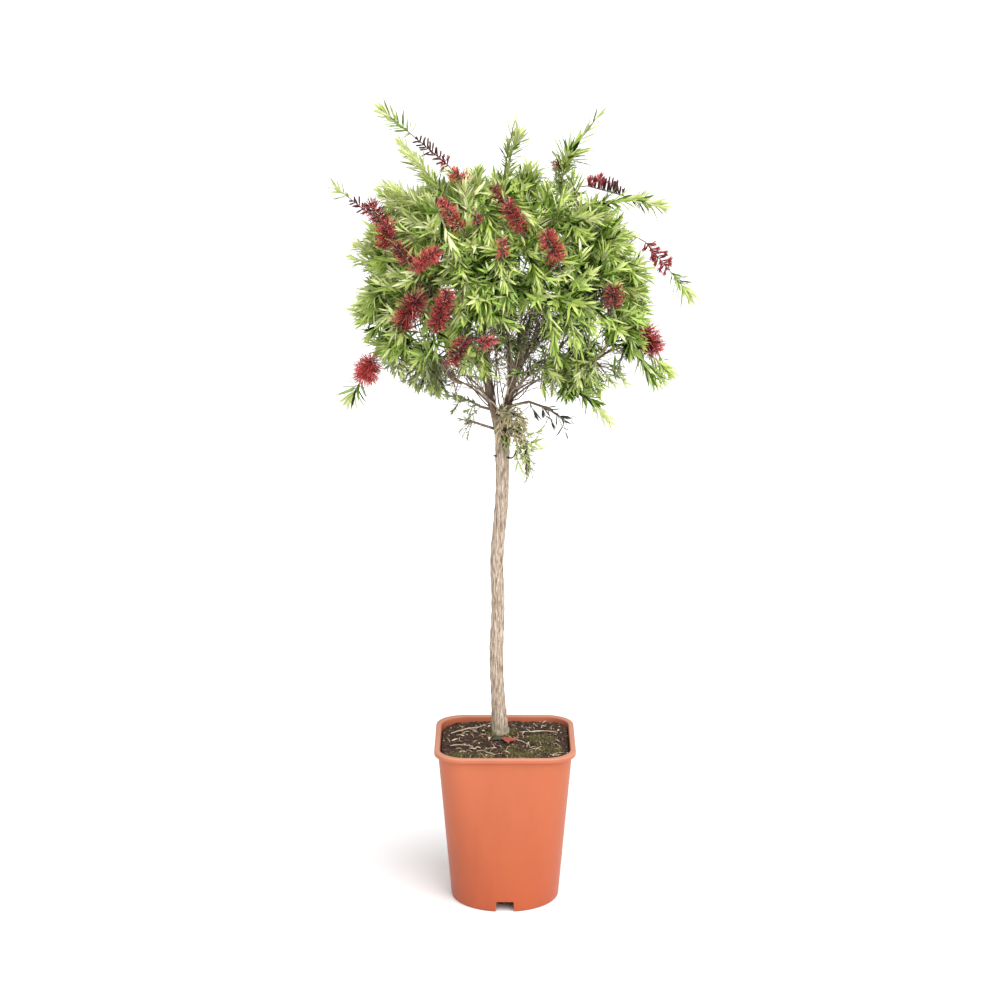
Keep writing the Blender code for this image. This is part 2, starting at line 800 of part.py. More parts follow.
def brush_solid(start, end):
    """The solid of the brush between two points of its twig."""
    shape = bmesh.new()
    loft(shape, brush_rings(start, end))
    return add_object("brush", shape, "foliage")


class Space:
    """Where a mass may grow: inside its own space and clear of every limb."""

    def __init__(self, mass, masses, limbs):
        self.mass = mass
        self.masses = masses
        self.limbs = limbs

    def holds(self, points):
        """Whether every point lies in the mass's own space."""
        return all(room(point, self.mass, self.masses) > MARGIN for point in points)

    def clear(self, start, end, reach):
        """Whether a segment this thick keeps off every limb."""
        return all(limb_clearance(start, end, limb) > reach + LIMB_ROOM for limb in self.limbs)

    def takes_tube(self, limb, sides):
        """Whether a twig fits in the space, clear of every limb."""
        corners = [point for ring in tube_rings(limb, sides) for point in ring]
        spans = zip(limb.line, limb.line[1:], limb.radii)
        return self.holds(corners) and all(self.clear(*span) for span in spans)


def stem_of(mass):
    """The mass's stem carries on from its bough, a gap away from the bough's tip."""
    tip, heading = mass.bough.at(1)
    start = tip + heading * GAP
    middle = mass.middle
    bend = start + heading * (middle - start).length * STEM_SWAY
    line = arc(start, bend, middle, STEM_STATIONS)
    return Limb(line, spread(*STEM_RADIUS, STEM_STATIONS))


def twigs_of(mass, stem):
    """A twig for each tip. They leave the stem at a slant, one after another."""
    start, end = stem.line[0], stem.line[-1]
    along = end - start
    placed = []
    for tip in mass.tips:
        goal = tip.brush[0] if tip.brush else tip.end
        forward = (goal - start).dot(along) / along.length_squared
        aside = (goal - start - along * forward).length / along.length
        placed.append((min(max(forward - TWIG_LEAD * aside, 0), 1), goal, tip))
    placed.sort(key=lambda entry: entry[0])
    onward, direct, lift = TWIG_SWAY
    twigs = []
    for rank, (share, goal, tip) in enumerate(placed):
        even = rank / max(len(placed) - 1, 1)
        root, heading = stem.at(TWIG_FIRST + (TWIG_LAST - TWIG_FIRST) * (share + even) / 2)
        away = goal - root
        bend = root + (heading * onward + UP * lift) * away.length + away * direct
        line = arc(root, bend, goal, TWIG_STATIONS)
        if tip.brush:
            line += [tip.brush[1], tip.end]
        twigs.append((Limb(line, spread(*TWIG_RADIUS, len(line))), tip))
    return twigs


def surface_of(made):
    """A tree of an object's faces, which tells what they touch."""
    corners = [corner.co for corner in made.data.vertices]
    return BVHTree.FromPolygons(corners, [face.vertices for face in made.data.polygons])


def facet_directions(limb, share, sides):
    """The ways that a limb's flat sides face, at a share of its line."""
    rings = tube_rings(limb, sides)
    span = min(int(share * (len(limb.line) - 1)), len(limb.line) - 2)
    middle = limb.line[span].lerp(limb.line[span + 1], 0.5)
    ways = []
    for step in range(sides):
        corners = [ring[side % sides] for ring in rings[span : span + 2] for side in (step, step + 1)]
        ways.append((sum(corners, Vector()) / len(corners) - middle).normalized())
    return ways


def add_leaves(twig, sides, carrier, pieces, rng, shares, space, scale=1.0):
    """One leaf at a twig's tip and more along its flat sides, each moved on until it fits."""
    rank = rng.randrange(sides)
    for share in (1, *shares):
        root, heading = twig.at(share)
        ways = facet_directions(twig, share, sides)
        for size in LEAF_SIZES:
            rank += 1
            side = ways[rank % sides]
            slant = math.radians(LEAF_SLANT if share < 1 else TIP_SLANT) * rng.uniform(*SLANT_RANGE)
            along = heading * math.cos(slant) + side * math.sin(slant)
            face = heading if share < 1 else side
            points = leaf_points(root - along * LEAF_SUNK, along, face, size * scale)
            clear = space.clear(points[0], points[1], LEAF_WIDTH * scale / 2)
            if not clear or not space.holds(points):
                continue
            surface = BVHTree.FromPolygons(points, LEAF_FACES)
            if not any(surface.overlap(other) for made, other in pieces if made is not carrier):
                pieces.append((leaf_solid(points), surface))
                break


def largest_body(made):
    """Keeps the mesh's largest body: drops loose scraps, and fills sealed hollows."""
    shape = bmesh.new()
    shape.from_mesh(made.data)
    left = set(shape.verts)
    bodies = []
    while left:
        body, edge = set(), [left.pop()]
        while edge:
            corner = edge.pop()
            body.add(corner)
            near = {link.other_vert(corner) for link in corner.link_edges} & left
            left -= near
            edge.extend(near)
        bodies.append(body)
    bodies.sort(key=len)
    for body in bodies[:-1]:
        bmesh.ops.delete(shape, geom=list(body), context="VERTS")
    shape.to_mesh(made.data)
    shape.free()


def build_mass(mass, space, limbs, seed):
    """One body: the stem, its twigs, and the leaves and brushes on them."""
    rng = random.Random(seed)
    stem = mass.stem or stem_of(mass)
    made = tube(mass.name, stem, STEM_SIDES)
    made.data.materials[0] = material("foliage")
    if mass.stem:
        cut_back(made, limbs)
    pieces = [(made, surface_of(made))]
    carriers = []
    for twig, tip in twigs_of(mass, stem):
        ends = [point for ring in brush_rings(*tip.brush) for point in ring] if tip.brush else []
        if not space.takes_tube(twig, TWIG_SIDES) or not space.holds(ends):
            continue
        solid = tube("twig", twig, TWIG_SIDES)
        pieces.append((solid, surface_of(solid)))
        carriers.append((twig, solid, tip))
        if tip.brush:
            solid = brush_solid(*tip.brush)
            pieces.append((solid, surface_of(solid)))
    stem_shares = SHOOT_SHARES if mass.stem else ()
    add_leaves(stem, STEM_SIDES, made, pieces, rng, stem_shares, space, SMALL_LEAF)
    for twig, solid, tip in carriers:
        shares = BRUSH_TWIG_SHARES if tip.brush else LEAF_SHARES
        add_leaves(twig, TWIG_SIDES, solid, pieces, rng, shares, space, tip.leaf)
    combine(made, [piece for piece, _ in pieces[1:]], "UNION")
    largest_body(made)


def main():
    for old in list(bpy.data.objects):
        bpy.data.objects.remove(old, do_unlink=True)
    build_pot()
    build_soil()
    limbs = {"trunk": trunk_limb()}
    for name in LIMB_LINES:
        limbs[name] = fork_limb(name)
    masses = plan_masses()
    plan_brushes(masses)
    plan_long_shoots(masses)
    plan_tips(masses, random.Random(TIP_SEED))
    grow_boughs(masses, limbs)
    build_wood(limbs, masses)
    wood = list(limbs.values()) + [mass.bough for mass in masses if mass.bough]
    for index, mass in enumerate(masses):
        build_mass(mass, Space(mass, masses, wood), limbs, MASS_SEED + index)


main()
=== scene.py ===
"""Looks of a red bottlebrush shrub, grown as a half standard in a square-topped nursery pot.

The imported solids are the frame, so every piece lies where they do: metres, +Z up, and the
origin in the middle of the pot's underside. A bearing is in degrees, seen from above: 0
points to -Y, the front, and 90 to +X.
"""

import math
import random
from dataclasses import dataclass, field

import bmesh
import bpy
import numpy as np
from mathutils import Matrix, Vector, noise


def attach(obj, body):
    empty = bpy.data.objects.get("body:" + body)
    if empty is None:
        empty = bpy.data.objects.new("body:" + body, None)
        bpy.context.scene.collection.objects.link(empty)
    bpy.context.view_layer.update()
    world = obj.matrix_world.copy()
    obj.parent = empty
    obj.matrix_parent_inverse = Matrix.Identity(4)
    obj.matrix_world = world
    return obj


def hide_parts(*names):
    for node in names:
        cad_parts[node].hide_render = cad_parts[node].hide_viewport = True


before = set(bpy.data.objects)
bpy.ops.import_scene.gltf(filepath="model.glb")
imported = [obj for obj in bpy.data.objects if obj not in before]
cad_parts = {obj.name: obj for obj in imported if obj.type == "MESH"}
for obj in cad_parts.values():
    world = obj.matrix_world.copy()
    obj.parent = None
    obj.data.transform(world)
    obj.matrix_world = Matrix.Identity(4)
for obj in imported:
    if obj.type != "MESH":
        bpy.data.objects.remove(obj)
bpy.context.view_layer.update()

NODES = sorted(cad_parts)
WOOD_NODES = [name for name in NODES if name.startswith(("trunk", "limb", "bough"))]
LEAF_NODES = [name for name in NODES if name.startswith(("mass", "shoot"))]
UP = Vector((0, 0, 1))
GOLDEN_ANGLE = 137.508

# Seeds of the random draws.
TIP_SEED = 7
MASS_SEED = 300  # of the first mass, and one more for each that follows
BEARD_SEED = 53
RISER_SEED = 41
FORK_SEED = 29
LITTER_SEED = 11
MOST_FACES = 95000  # of a piece of foliage

# Pot: square with round corners at the rim, all but round at the base.
POT_HEIGHT = 0.260
RIM_WIDTH = 0.220
RIM_CORNER = 0.046
RIM_STEP = 0.006
RIM_DEPTH = 0.0075
BASE_RADIUS = 0.085
BASE_FLAT = 0.003
WALL = 0.0025
DRAIN_FOOT = 0.030
DRAIN_HEAD = 0.0265
DRAIN_HEIGHT = 0.017
DRAIN_END = 0.050

# Compost.
SOIL_LEVEL = POT_HEIGHT - 0.015
SOIL_LIFT = 0.0045  # of the ground, a little higher at the back right
MOUND = 0.007
MOUND_TOP = 0.019
SOIL_HALF = 0.1009  # half its width, up to the pot's wall
SOIL_CORNER = 0.0415
SOIL_PATCH = 0.206  # width of the grid that it is cut from
SOIL_GRID = 110  # squares to a side
SOIL_SLOPE = 0.015
SOIL_ROUGH = ((0.0030, 45), (0.0016, 190))  # height, and waves per metre
SOIL_UNDER = 0.008  # from its level down to its underside
SOIL_THICK = 0.012
SOIL_CLEAR = 0.0006  # from the wall
FOOT_ROOM = 0.016  # kept clear of litter round the trunk

# Trunk and the two limbs of its fork.
FOOT = Vector((-0.0066, 0.0220, SOIL_LEVEL + MOUND))
TRUNK_LINE = (
    FOOT,
    Vector((-0.0100, 0.0200, 0.305)),
    Vector((-0.0135, 0.0170, 0.385)),
    Vector((-0.0108, 0.0130, 0.470)),
    Vector((-0.0125, 0.0080, 0.550)),
    Vector((-0.0052, 0.0040, 0.640)),
    Vector((-0.0042, 0.0010, 0.710)),
    Vector((-0.0044, 0.0000, 0.757)),
)
TRUNK_RADIUS = (0.0108, 0.0096)
TRUNK_FLARE = 0.0045
FLARE_HEIGHT = 0.030
TRUNK_SWELL = 0.0014  # just below the fork
SWELL_PLACE = 0.718
LIMB_LINES = {
    "limb_left": (
        Vector((-0.0075, -0.001, 0.740)),
        Vector((-0.0150, -0.003, 0.776)),
        Vector((-0.0235, -0.006, 0.806)),
        Vector((-0.0300, -0.006, 0.848)),
    ),
    "limb_right": (
        Vector((-0.0020, 0.001, 0.740)),
        Vector((0.0035, 0.003, 0.780)),
        Vector((0.0090, 0.007, 0.815)),
        Vector((0.0240, 0.008, 0.858)),
    ),
}
LIMB_RADIUS = (0.0078, 0.0048)
# The wood that fills the crotch between the two limbs, as points in millimetres.
CROTCH = ((-5, 0, 745), (-5, 1, 765), (-5.5, 1, 781), (-6, 1, 790))
CROTCH_RADIUS = (0.0085, 0.0025)
LIMB_STATIONS = 7
# The bark's relief, in waves per metre: across and along the trunk, and the knots along it.
STRINGS = (330, 34)
FIBRES = (800, 70)
SWELLS = 16
STRING_DEPTH = 0.00055
FIBRE_DEPTH = 0.00030
SWELL_DEPTH = 0.0007
RELIEF_SINK = 0.0004
FORK_RELIEF = (0.74, 0.45)  # above this height, the relief is only this share as deep
TRUNK_STATIONS = 90
VOXEL = 0.00095  # small enough for the strings of bark

# Crown: a ball squared off at top and sides, and open below round the limbs.
CROWN_MIDDLE = 0.975
CROWN_RADIUS = 0.228
CROWN_RISE = 0.178
CROWN_SQUARENESS = 2.9
SHOULDER = 2.3  # the same for the top half of the leafy outline
SHOULDER_DROP = 0.012
# Where the outline lies further in: the middle of the dent, its half width, and its depth.
DENTS = (
    ((0.206, -0.020, 1.068), 0.062, 0.047),
    ((-0.024, 0.000, 1.152), 0.044, 0.040),
    ((-0.228, -0.020, 0.986), 0.034, 0.034),
    ((0.228, -0.020, 0.958), 0.035, 0.020),
    ((-0.228, -0.020, 0.862), 0.048, 0.020),
    ((0.040, -0.120, 0.825), 0.060, 0.012),
)
TIP_LAYERS = ((0.036, 94), (0.095, 24))
TIP_SHIFT = 0.012
OPEN_RADIUS = 0.075
OPEN_HEIGHT = 0.870
BRUSH_SPACE = 0.021

# Tiers of masses: name, number, ring radius, height, first bearing, and the share of its
# limb at which a bough of the tier leaves it.
TIERS = (
    ("low", 8, 0.158, 0.868, 10, 0.45),
    ("middle", 9, 0.166, 0.978, 0, 0.70),
    ("high", 6, 0.108, 1.078, 25, 0.90),
    ("crest", 1, 0.000, 1.095, 0, 1.00),
)
BOUGH_RADIUS = (0.0017, 0.0010)
BOUGH_STATIONS = 4
BOUGH_SWAY = (0.30, 0.25)
BOUGH_LEAVES = 1.6
LEAST_SHARE = 0.25
BARE_SHARE = 0.42
ENTRY_ROOM = 0.012
BOUGH_SHIFTS = (0, 0.08, -0.08, 0.16, -0.16, 0.24, -0.24, 0.32, -0.32, 0.40, -0.40)
GAP = 0.0003

# Small shoots straight from the old wood: name, middle of the space, and the stem's line, all
# in millimetres.
OLD_WOOD_SHOOTS = (
    (
        "shoot_trunk_right",
        (36, -12, 705),
        ((0, 0, 745), (22, -14, 744), (36, -13, 712), (33, -12, 690)),
    ),
    (
        "shoot_trunk_left",
        (-62, -8, 762),
        ((-9, -2, 752), (-32, -6, 760), (-48, -8, 766), (-58, -8, 764)),
    ),
    (
        "shoot_limb_right",
        (85, -10, 772),
        ((5, 3, 788), (36, -6, 797), (66, -10, 787), (90, -12, 770)),
    ),
    (
        "shoot_limb_left",
        (-68, -12, 800),
        ((-18, -3, 784), (-36, -12, 790), (-54, -14, 800), (-70, -14, 803)),
    ),
)

STEM_RADIUS = (0.0023, 0.0016)
TWIG_RADIUS = (0.0013, 0.0008)
STEM_STATIONS = 4
TWIG_STATIONS = 5
STEM_SWAY = 0.5
TWIG_FIRST = 0.15
TWIG_LAST = 0.97
TWIG_LEAD = 0.7
TWIG_SWAY = (0.35, 0.15, 0.06)
BRUSH_LIFT = 0.30
SPRIG_RADII = (0.0007, 0.0006, 0.0004)
FORKLET_RADII = (0.0004, 0.0003, 0.0002)
SHOOT_RADII = (0.0008, 0.0007, 0.0005)
BARE_REACH = 0.045  # of the bare twigs inside the crown
FORK_REACH = 0.040

# Long shoots that stand out of the crown: the tip's bearing, reach and height, those of the
# middle of the flower, spike or first leaves on the shoot, and what the shoot carries.
LONG_SHOOTS = (
    ((270, 0.195, 1.246), (270, 0.108, 1.173), "spike"),
    ((270, 0.265, 1.130), (270, 0.216, 1.092), "short_spike"),
    ((90, 0.016, 1.232), (90, 0.003, 1.168), "leafy"),
    ((90, 0.146, 1.238), (90, 0.092, 1.165), "leafy_dark"),
    ((90, 0.249, 1.089), (90, 0.150, 1.116), "upright"),
    ((91, 0.292, 0.944), (90, 0.227, 1.020), "opening"),
    ((270, 0.244, 0.787), (278, 0.209, 0.852), "pink"),
    ((86, 0.259, 0.830), (83, 0.217, 0.897), "red"),
    ((350, 0.256, 0.985), (350, 0.214, 0.985), "leafy"),
    ((165, 0.302, 1.020), (165, 0.238, 1.010), "red"),
    ((202, 0.262, 0.900), (202, 0.214, 0.915), "leafy"),
    ((185, 0.240, 1.090), (185, 0.200, 1.080), "leafy"),
)
# What a long shoot carries: half its length, and its radius.
LONG_FORMS = {
    "spike": (0.031, 0.0),
    "short_spike": (0.015, 0.0),
    "upright": (0.028, 0.0),
    "opening": (0.026, 0.0),
    "pink": (0.015, 0.0215),
    "red": (0.020, 0.0245),
    "leafy": (0.010, 0.0),
    "leafy_dark": (0.004, 0.0),
}

# Flowers on the crown's outside: bearing, height, length, lean from upright, clockwise as
# seen from outside, radius, and kind. Every second one is met again on the far side.
FLOWERS = (
    (324, 1.144, 0.022, -61, 0.0125, "bright"),
    (356, 1.125, 0.026, -20, 0.0110, "faded"),
    (336, 1.099, 0.048, -31, 0.0120, "bright"),
    (348, 1.094, 0.013, 4, 0.0070, "red"),
    (4, 1.097, 0.046, -32, 0.0145, "red"),
    (292, 1.087, 0.044, -50, 0.0165, "dark"),
    (306, 1.063, 0.050, 45, 0.0155, "red"),
    (318, 1.040, 0.030, -38, 0.0145, "dark"),
    (329, 1.037, 0.056, 59, 0.0140, "bright"),
    (359, 1.055, 0.022, 0, 0.0100, "bright"),
    (18, 1.056, 0.046, -33, 0.0172, "red"),
    (44, 0.979, 0.032, -19, 0.0168, "faded"),
    (322, 0.960, 0.068, 46, 0.0215, "dark"),
    (336, 0.965, 0.070, 29, 0.0160, "red"),
    (342, 0.907, 0.042, 33, 0.0155, "dark"),
    (353, 0.923, 0.024, 64, 0.0120, "bright"),
    (137, 1.142, 0.020, 30, 0.0100, "red"),
)
FAR_SIDE = 188
FAR_EVERY = 2
FAR_WIDTH = 0.165
FAR_TOP = 1.120
FLOWER_DEPTH = 0.004
CLEARING = 0.85  # how much of a flower's radius leaves keep away from
STAMENS = ("bright", "red", "dark", "faded")
STAMEN_SHARES = {  # of each kind of flower, in the order of the finishes above
    "bright": (0.50, 0.30, 0.18, 0.02),
    "red": (0.24, 0.40, 0.34, 0.02),
    "dark": (0.08, 0.32, 0.55, 0.05),
    "faded": (0.05, 0.20, 0.30, 0.45),
    "pink": (0.40, 0.45, 0.10, 0.05),
}
STAMEN_WIDTH = 0.00085
DUSTED = 0.36  # share of the stamens with a grain of pollen
FLORET_SPACING = 0.0011
FLORET_STAMENS = 13
CUP_LENGTH = 0.0028
CUP_RADIUS = 0.0012
CUP_SEAT = 0.0011  # from the twig's middle
TUFT_SEAT = 0.0015  # of the stamens, over the foot of the cup
SPIKE_REACH = 0.009
PEG_LENGTH = 0.0150
PEG_SPACING = 0.0018
PEG_STAMENS = 26  # that push out of an opening bud
PEG_REACH = 0.0090
CAPSULE_SPACING = 0.0017

# Sprays that shape the crown: bearing, reach and height of the tip, length, lean from
# upright, clockwise as seen from outside, and tone, from 0, the palest, to 5.
SPRAYS = (
    (281, 0.166, 1.192, 0.112, -31, 0),
    (289, 0.187, 1.138, 0.074, -44, 0),
    (276, 0.200, 1.128, 0.066, -50, 0),
    (290, 0.206, 1.126, 0.080, -48, 1),
    (277, 0.238, 1.044, 0.055, -62, 0),
    (277, 0.245, 1.022, 0.066, -76, 1),
    (283, 0.222, 0.971, 0.058, -78, 1),
    (275, 0.240, 0.937, 0.060, -84, 0),
    (278, 0.219, 0.891, 0.054, -87, 2),
    (334, 0.144, 1.147, 0.040, -4, 0),
    (52, 0.046, 1.170, 0.045, -4, 1),
    (71, 0.062, 1.159, 0.048, 34, 2),
    (305, 0.050, 1.162, 0.041, 12, 2),
    (277, 0.165, 1.202, 0.089, -28, 0),
    (293, 0.158, 1.186, 0.079, -28, 1),
    (282, 0.195, 1.134, 0.065, -54, 0),
    (296, 0.188, 1.136, 0.064, -44, 0),
    (277, 0.240, 0.947, 0.060, -93, 1),
    (280, 0.237, 0.923, 0.059, -100, 2),
    (299, 0.165, 0.820, 0.059, -174, 3),
    (310, 0.139, 0.812, 0.055, 165, 3),
    (76, 0.201, 0.822, 0.044, 140, 1),
    (83, 0.258, 0.839, 0.062, 142, 2),
    (68, 0.158, 0.805, 0.056, 153, 2),
    (84, 0.100, 1.184, 0.040, 5, 1),
    (88, 0.026, 1.212, 0.034, 10, 1),
    (90, 0.012, 1.166, 0.040, 10, 1),
    (82, 0.227, 1.111, 0.078, 82, 2),
    (76, 0.207, 1.054, 0.056, 96, 1),
    (71, 0.210, 1.036, 0.062, 104, 2),
    (80, 0.229, 1.003, 0.068, 98, 1),
    (75, 0.226, 0.960, 0.060, 120, 1),
    (82, 0.225, 0.929, 0.057, 122, 2),
    (80, 0.239, 0.817, 0.078, 160, 3),
    (83, 0.250, 0.823, 0.066, 147, 2),
    (74, 0.182, 0.819, 0.050, 150, 2),
    (70, 0.180, 0.765, 0.068, 145, 0),
    (56, 0.180, 0.805, 0.062, 127, 4),
    (21, 0.140, 0.820, 0.052, -170, 2),
    (33, 0.131, 0.816, 0.054, -176, 2),
    (42, 0.134, 0.817, 0.050, -168, 3),
    (43, 0.163, 0.818, 0.060, -178, 2),
    (305, 0.158, 0.816, 0.064, -170, 2),
    (314, 0.143, 0.811, 0.060, 172, 3),
    (308, 0.130, 0.812, 0.058, 178, 2),
    (316, 0.112, 0.808, 0.056, -176, 3),
    (322, 0.112, 0.802, 0.056, 160, 3),
    (284, 0.163, 0.824, 0.052, 160, 4),
    (285, 0.191, 0.850, 0.042, -144, 3),
    (340, 0.212, 0.936, 0.090, -171, 1),
    (351, 0.213, 0.929, 0.092, 175, 2),
    (355, 0.211, 0.943, 0.066, 173, 3),
    (3, 0.211, 0.956, 0.070, 171, 3),
    (346, 0.212, 0.980, 0.068, 162, 1),
    (22, 0.212, 0.904, 0.077, 167, 2),
    (30, 0.214, 0.905, 0.073, 171, 2),
    (38, 0.219, 0.918, 0.066, 167, 2),
    (14, 0.214, 0.986, 0.060, 166, 2),
    (0, 0.218, 0.993, 0.050, 172, 1),
    (343, 0.215, 1.034, 0.065, 151, 1),
    (354, 0.200, 1.050, 0.050, 174, 2),
    (13, 0.196, 1.085, 0.050, 135, 1),
    (350, 0.185, 0.858, 0.040, 176, 1),
    (300, 0.201, 0.868, 0.045, -165, 2),
    (321, 0.192, 0.918, 0.050, -175, 2),
    (74, 0.184, 1.098, 0.050, 60, 2),
    (80, 0.231, 0.990, 0.045, 106, 1),
    (278, 0.214, 1.062, 0.045, -60, 1),
    (320, 0.075, 1.157, 0.045, -6, 1),
    (302, 0.094, 1.160, 0.045, -15, 1),
    (300, 0.203, 0.856, 0.045, -170, 3),
)

# Leaves and shoots.
LEAF_LENGTH = 0.0315
LEAF_WIDTH = 0.0040
LEAF_STATIONS = ((0.24, 0.85), (0.62, 1.0))  # share of the length, and of the half width
LEAF_FOLD = 0.35  # how far a leaf's edges rise, as a share of its half width
LEAF_SPACING = 0.0014  # between leaves along a shoot
LEAF_SLANT = (58, 20)  # degrees from the shoot, at its foot and at its tip
LEAF_STRAY = 14  # degrees either way from its place in the spiral
YOUNG = 0.78  # share of a shoot from which its leaves are still growing
LEAF_SAG = 0.06
LEAF_CURL = (-0.02, 0.12)
# Leaves paler or darker than their shoot: where on the shoot they begin or end, and how many of
# them there are. The paler ones at a shoot's end are young leaves and painted light; the darker
# ones at its foot are painted shade inside the crown. Some more stray to either side wherever they
# are.
PALE_END = (0.62, 0.70)
DARK_FOOT = (0.50, 0.70)
STRAY_SHARE = 0.30
SIDE_FIRST = 0.25  # share of a twig at which its side shoots begin
SIDE_LAST = (0.60, 0.93)  # and at which they end, under a flower and elsewhere
SIDE_SPACING = 0.0126  # between side shoots along a twig
SIDE_LENGTH = (0.040, 0.074)
SIDE_SLANT = 42
EDGE_DEPTH = 0.012  # side shoots end this deep inside the outline
LEAST_DEPTH = 0.006  # and none is kept that can only end less deep
WOOD_REACH = 0.07  # from the axis, and up to the height below, leaves keep clear of the wood
WOOD_TOP = 0.90
INNER_DEPTH = 0.120  # shoots that would end deeper than this stay bare
# How light a spray is by its height, by how far left it is, and by each metre of its depth under
# the crown's skin; and how that becomes a tone, with some that stray. These tones are painted light
# and shade: paler high up and on the left, darker deep inside the crown.
TONE_LIGHT = (0.60, 0.34, 11.0)
TONE_SKIN = 0.024
TONE_MIDDLE = 1.75
TONE_STEP = 1.3
TONE_STRAY = 0.50
SAGE_SHARE = 0.04  # of the leaves are grey-green wherever they are
# The window in front of the fork, where the stems show: its sides, its top and its back.
WINDOW = (-0.082, 0.056, 0.862, 0.165)
WINDOW_LEAVES = (0.812, 0.848)  # no leaf ends between these heights in its front
# Over it the foot of the crown is a tangle of fine twigs: its bottom, its top and its radius.
TANGLE = (0.850, 0.945, 0.115)
# It reaches out to the front and the back: two opposite corners of each such place.
TANGLE_BOXES = (
    ((-0.048, -0.30, 0.850), (0.012, -0.05, 0.938)),
    ((0.012, -0.30, 0.850), (0.064, -0.05, 0.966)),
    ((0.005, 0.05, 0.840), (0.078, 0.30, 0.912)),
)
TANGLE_STEPS = 10
DROOP = 0.9  # how far the lowest shoots hang over, as a share of straight down
DROOP_TOP = 1.000
DROOP_SPAN = 0.160
# Where the leaves are small and scattered: the middle of the place, and its radius.
THIN_PLACES = (
    ((-0.130, -0.060, 0.830), 0.082),
    ((-0.078, -0.130, 0.838), 0.056),
    ((0.160, -0.120, 0.868), 0.056),
    ((0.165, 0.000, 0.850), 0.056),
    ((0.172, 0.110, 0.842), 0.056),
    ((0.158, -0.090, 1.100), 0.042),
    ((0.088, -0.150, 0.832), 0.056),
)
# Where light falls through the crown from behind: each gap's place on the upright plane
# through the pot's axis, as x and height, and its radius.
LIGHT_GAPS = (
    (0.154, 0.851, 0.0069), (0.169, 0.865, 0.0053), (0.145, 0.860, 0.0046), (0.088, 0.880, 0.0061),
    (0.039, 0.934, 0.0046), (0.055, 0.922, 0.0046), (0.065, 0.883, 0.0053), (0.029, 0.918, 0.0046),
    (0.014, 0.899, 0.0046), (0.021, 0.863, 0.0053), (0.042, 0.894, 0.0046), (-0.000, 0.873, 0.0046),
    (0.050, 0.866, 0.0046), (-0.160, 0.859, 0.0046), (-0.098, 0.873, 0.0046),
)
# Thin stems in the window: the line that each runs along, in millimetres, and its finish.
FORK_STEMS = (
    (((-16.5, -6, 782), (-15, -12, 802), (-21, -18, 838), (-34, -30, 910)), "dark"),
    (((-6, -2, 785), (-10.5, -12, 802), (-13.5, -20, 851), (-18, -40, 920)), "dark"),
    (((-24, -8, 790), (-34, -14, 800), (-61, -26, 838), (-94, -50, 890)), "dark"),
    (((-8, -6, 781), (-18, -16, 797), (-44, -22, 820), (-78, -40, 870)), "pale"),
    (((-3, -4, 782), (-1, -12, 803), (12, -18, 837), (26, -40, 900)), "pale"),
    (((6, 0, 792), (18, -10, 812), (30, -16, 834), (70, -30, 880)), "dark"),
    (((2, -2, 790), (11, -10, 799), (25, -14, 808), (52, -20, 846)), "dark"),
    (((-27, -6, 812), (-30, -12, 826), (-38, -16, 846), (-56, -30, 900)), "dark"),
    (((4, -4, 786), (12, -12, 793), (22, -14, 795), (34, -16, 796)), "pale"),
)
# Stubs of two old shoots on the trunk, in millimetres.
STUBS = (
    ((-12, -4, 712), (-16.5, -6, 713), (-18.2, -6, 713.2)),
    ((2, -6, 711), (9, -9, 710), (13, -10, 713), (17, -10, 722)),
)
STUB_RADIUS = (0.0018, 0.0005)
BEARD = 60  # short shoots on the front of the trunk below the fork
BEARD_RADII = (0.0009, 0.0007, 0.0006, 0.0005, 0.0003)
BEARD_SPRIGS = 15  # green ones beside them
RISERS = 7  # thin stems that fan up from each limb of the fork
RISER_SHARES = (0.30, 0.96)  # of the limb, between which they leave it
RISER_KINDS = ("dark_stems", "pale_stems", "dark_stems", "boughs")
LIMB_TOP = 0.83  # stems that end higher carry bare twigs

# Light and camera.
CAMERA_PLACE = (-0.0078, -3.5, 1.447)
CAMERA_PITCH = 12.95
CAMERA_LENS = 84
CAMERA_SENSOR = 36
FLOOR_SIZE = 400  # so wide that its edge lies above the view
SKY = 0.46
KEY = 4.4
KEY_SPREAD = 72
KEY_RISE = 50
KEY_BEARING = 25
GIVEN_BACK = 0.82  # share of a painted colour that the real, duller surface gives back


# ---------------------------------------------------------------- finishes


def linear(code):
    """A hex sRGB colour as linear red, green, blue and alpha."""
    values = [int(code[place : place + 2], 16) / 255 for place in (0, 2, 4)]
    return [v / 12.92 if v <= 0.04045 else ((v + 0.055) / 1.055) ** 2.4 for v in values] + [1.0]


def surface(code, share=None):
    """The colour of a real surface of this hex colour."""
    share = GIVEN_BACK if share is None else share
    return [value * share for value in linear(code)[:3]] + [1.0]


def add_node(tree, kind, settings=None, inputs=None, links=()):
    """Adds a node with its settings, input values and incoming links (input, node, output)."""
    node = tree.nodes.new(kind)
    for name, value in (settings or {}).items():
        setattr(node, name, value)
    for name, value in (inputs or {}).items():
        node.inputs[name].default_value = value
    for name, source, output in links:
        tree.links.new(source.outputs[output], node.inputs[name])
    return node


def paint_stops(ramp, stops, share=None):
    """Gives a colour ramp its stops: the place and the hex shade of each."""
    elements = ramp.color_ramp.elements
    while len(elements) < len(stops):
        elements.new(0.5)
    for element, (place, shade) in zip(elements, stops):
        element.position = place
        element.color = surface(shade, share)


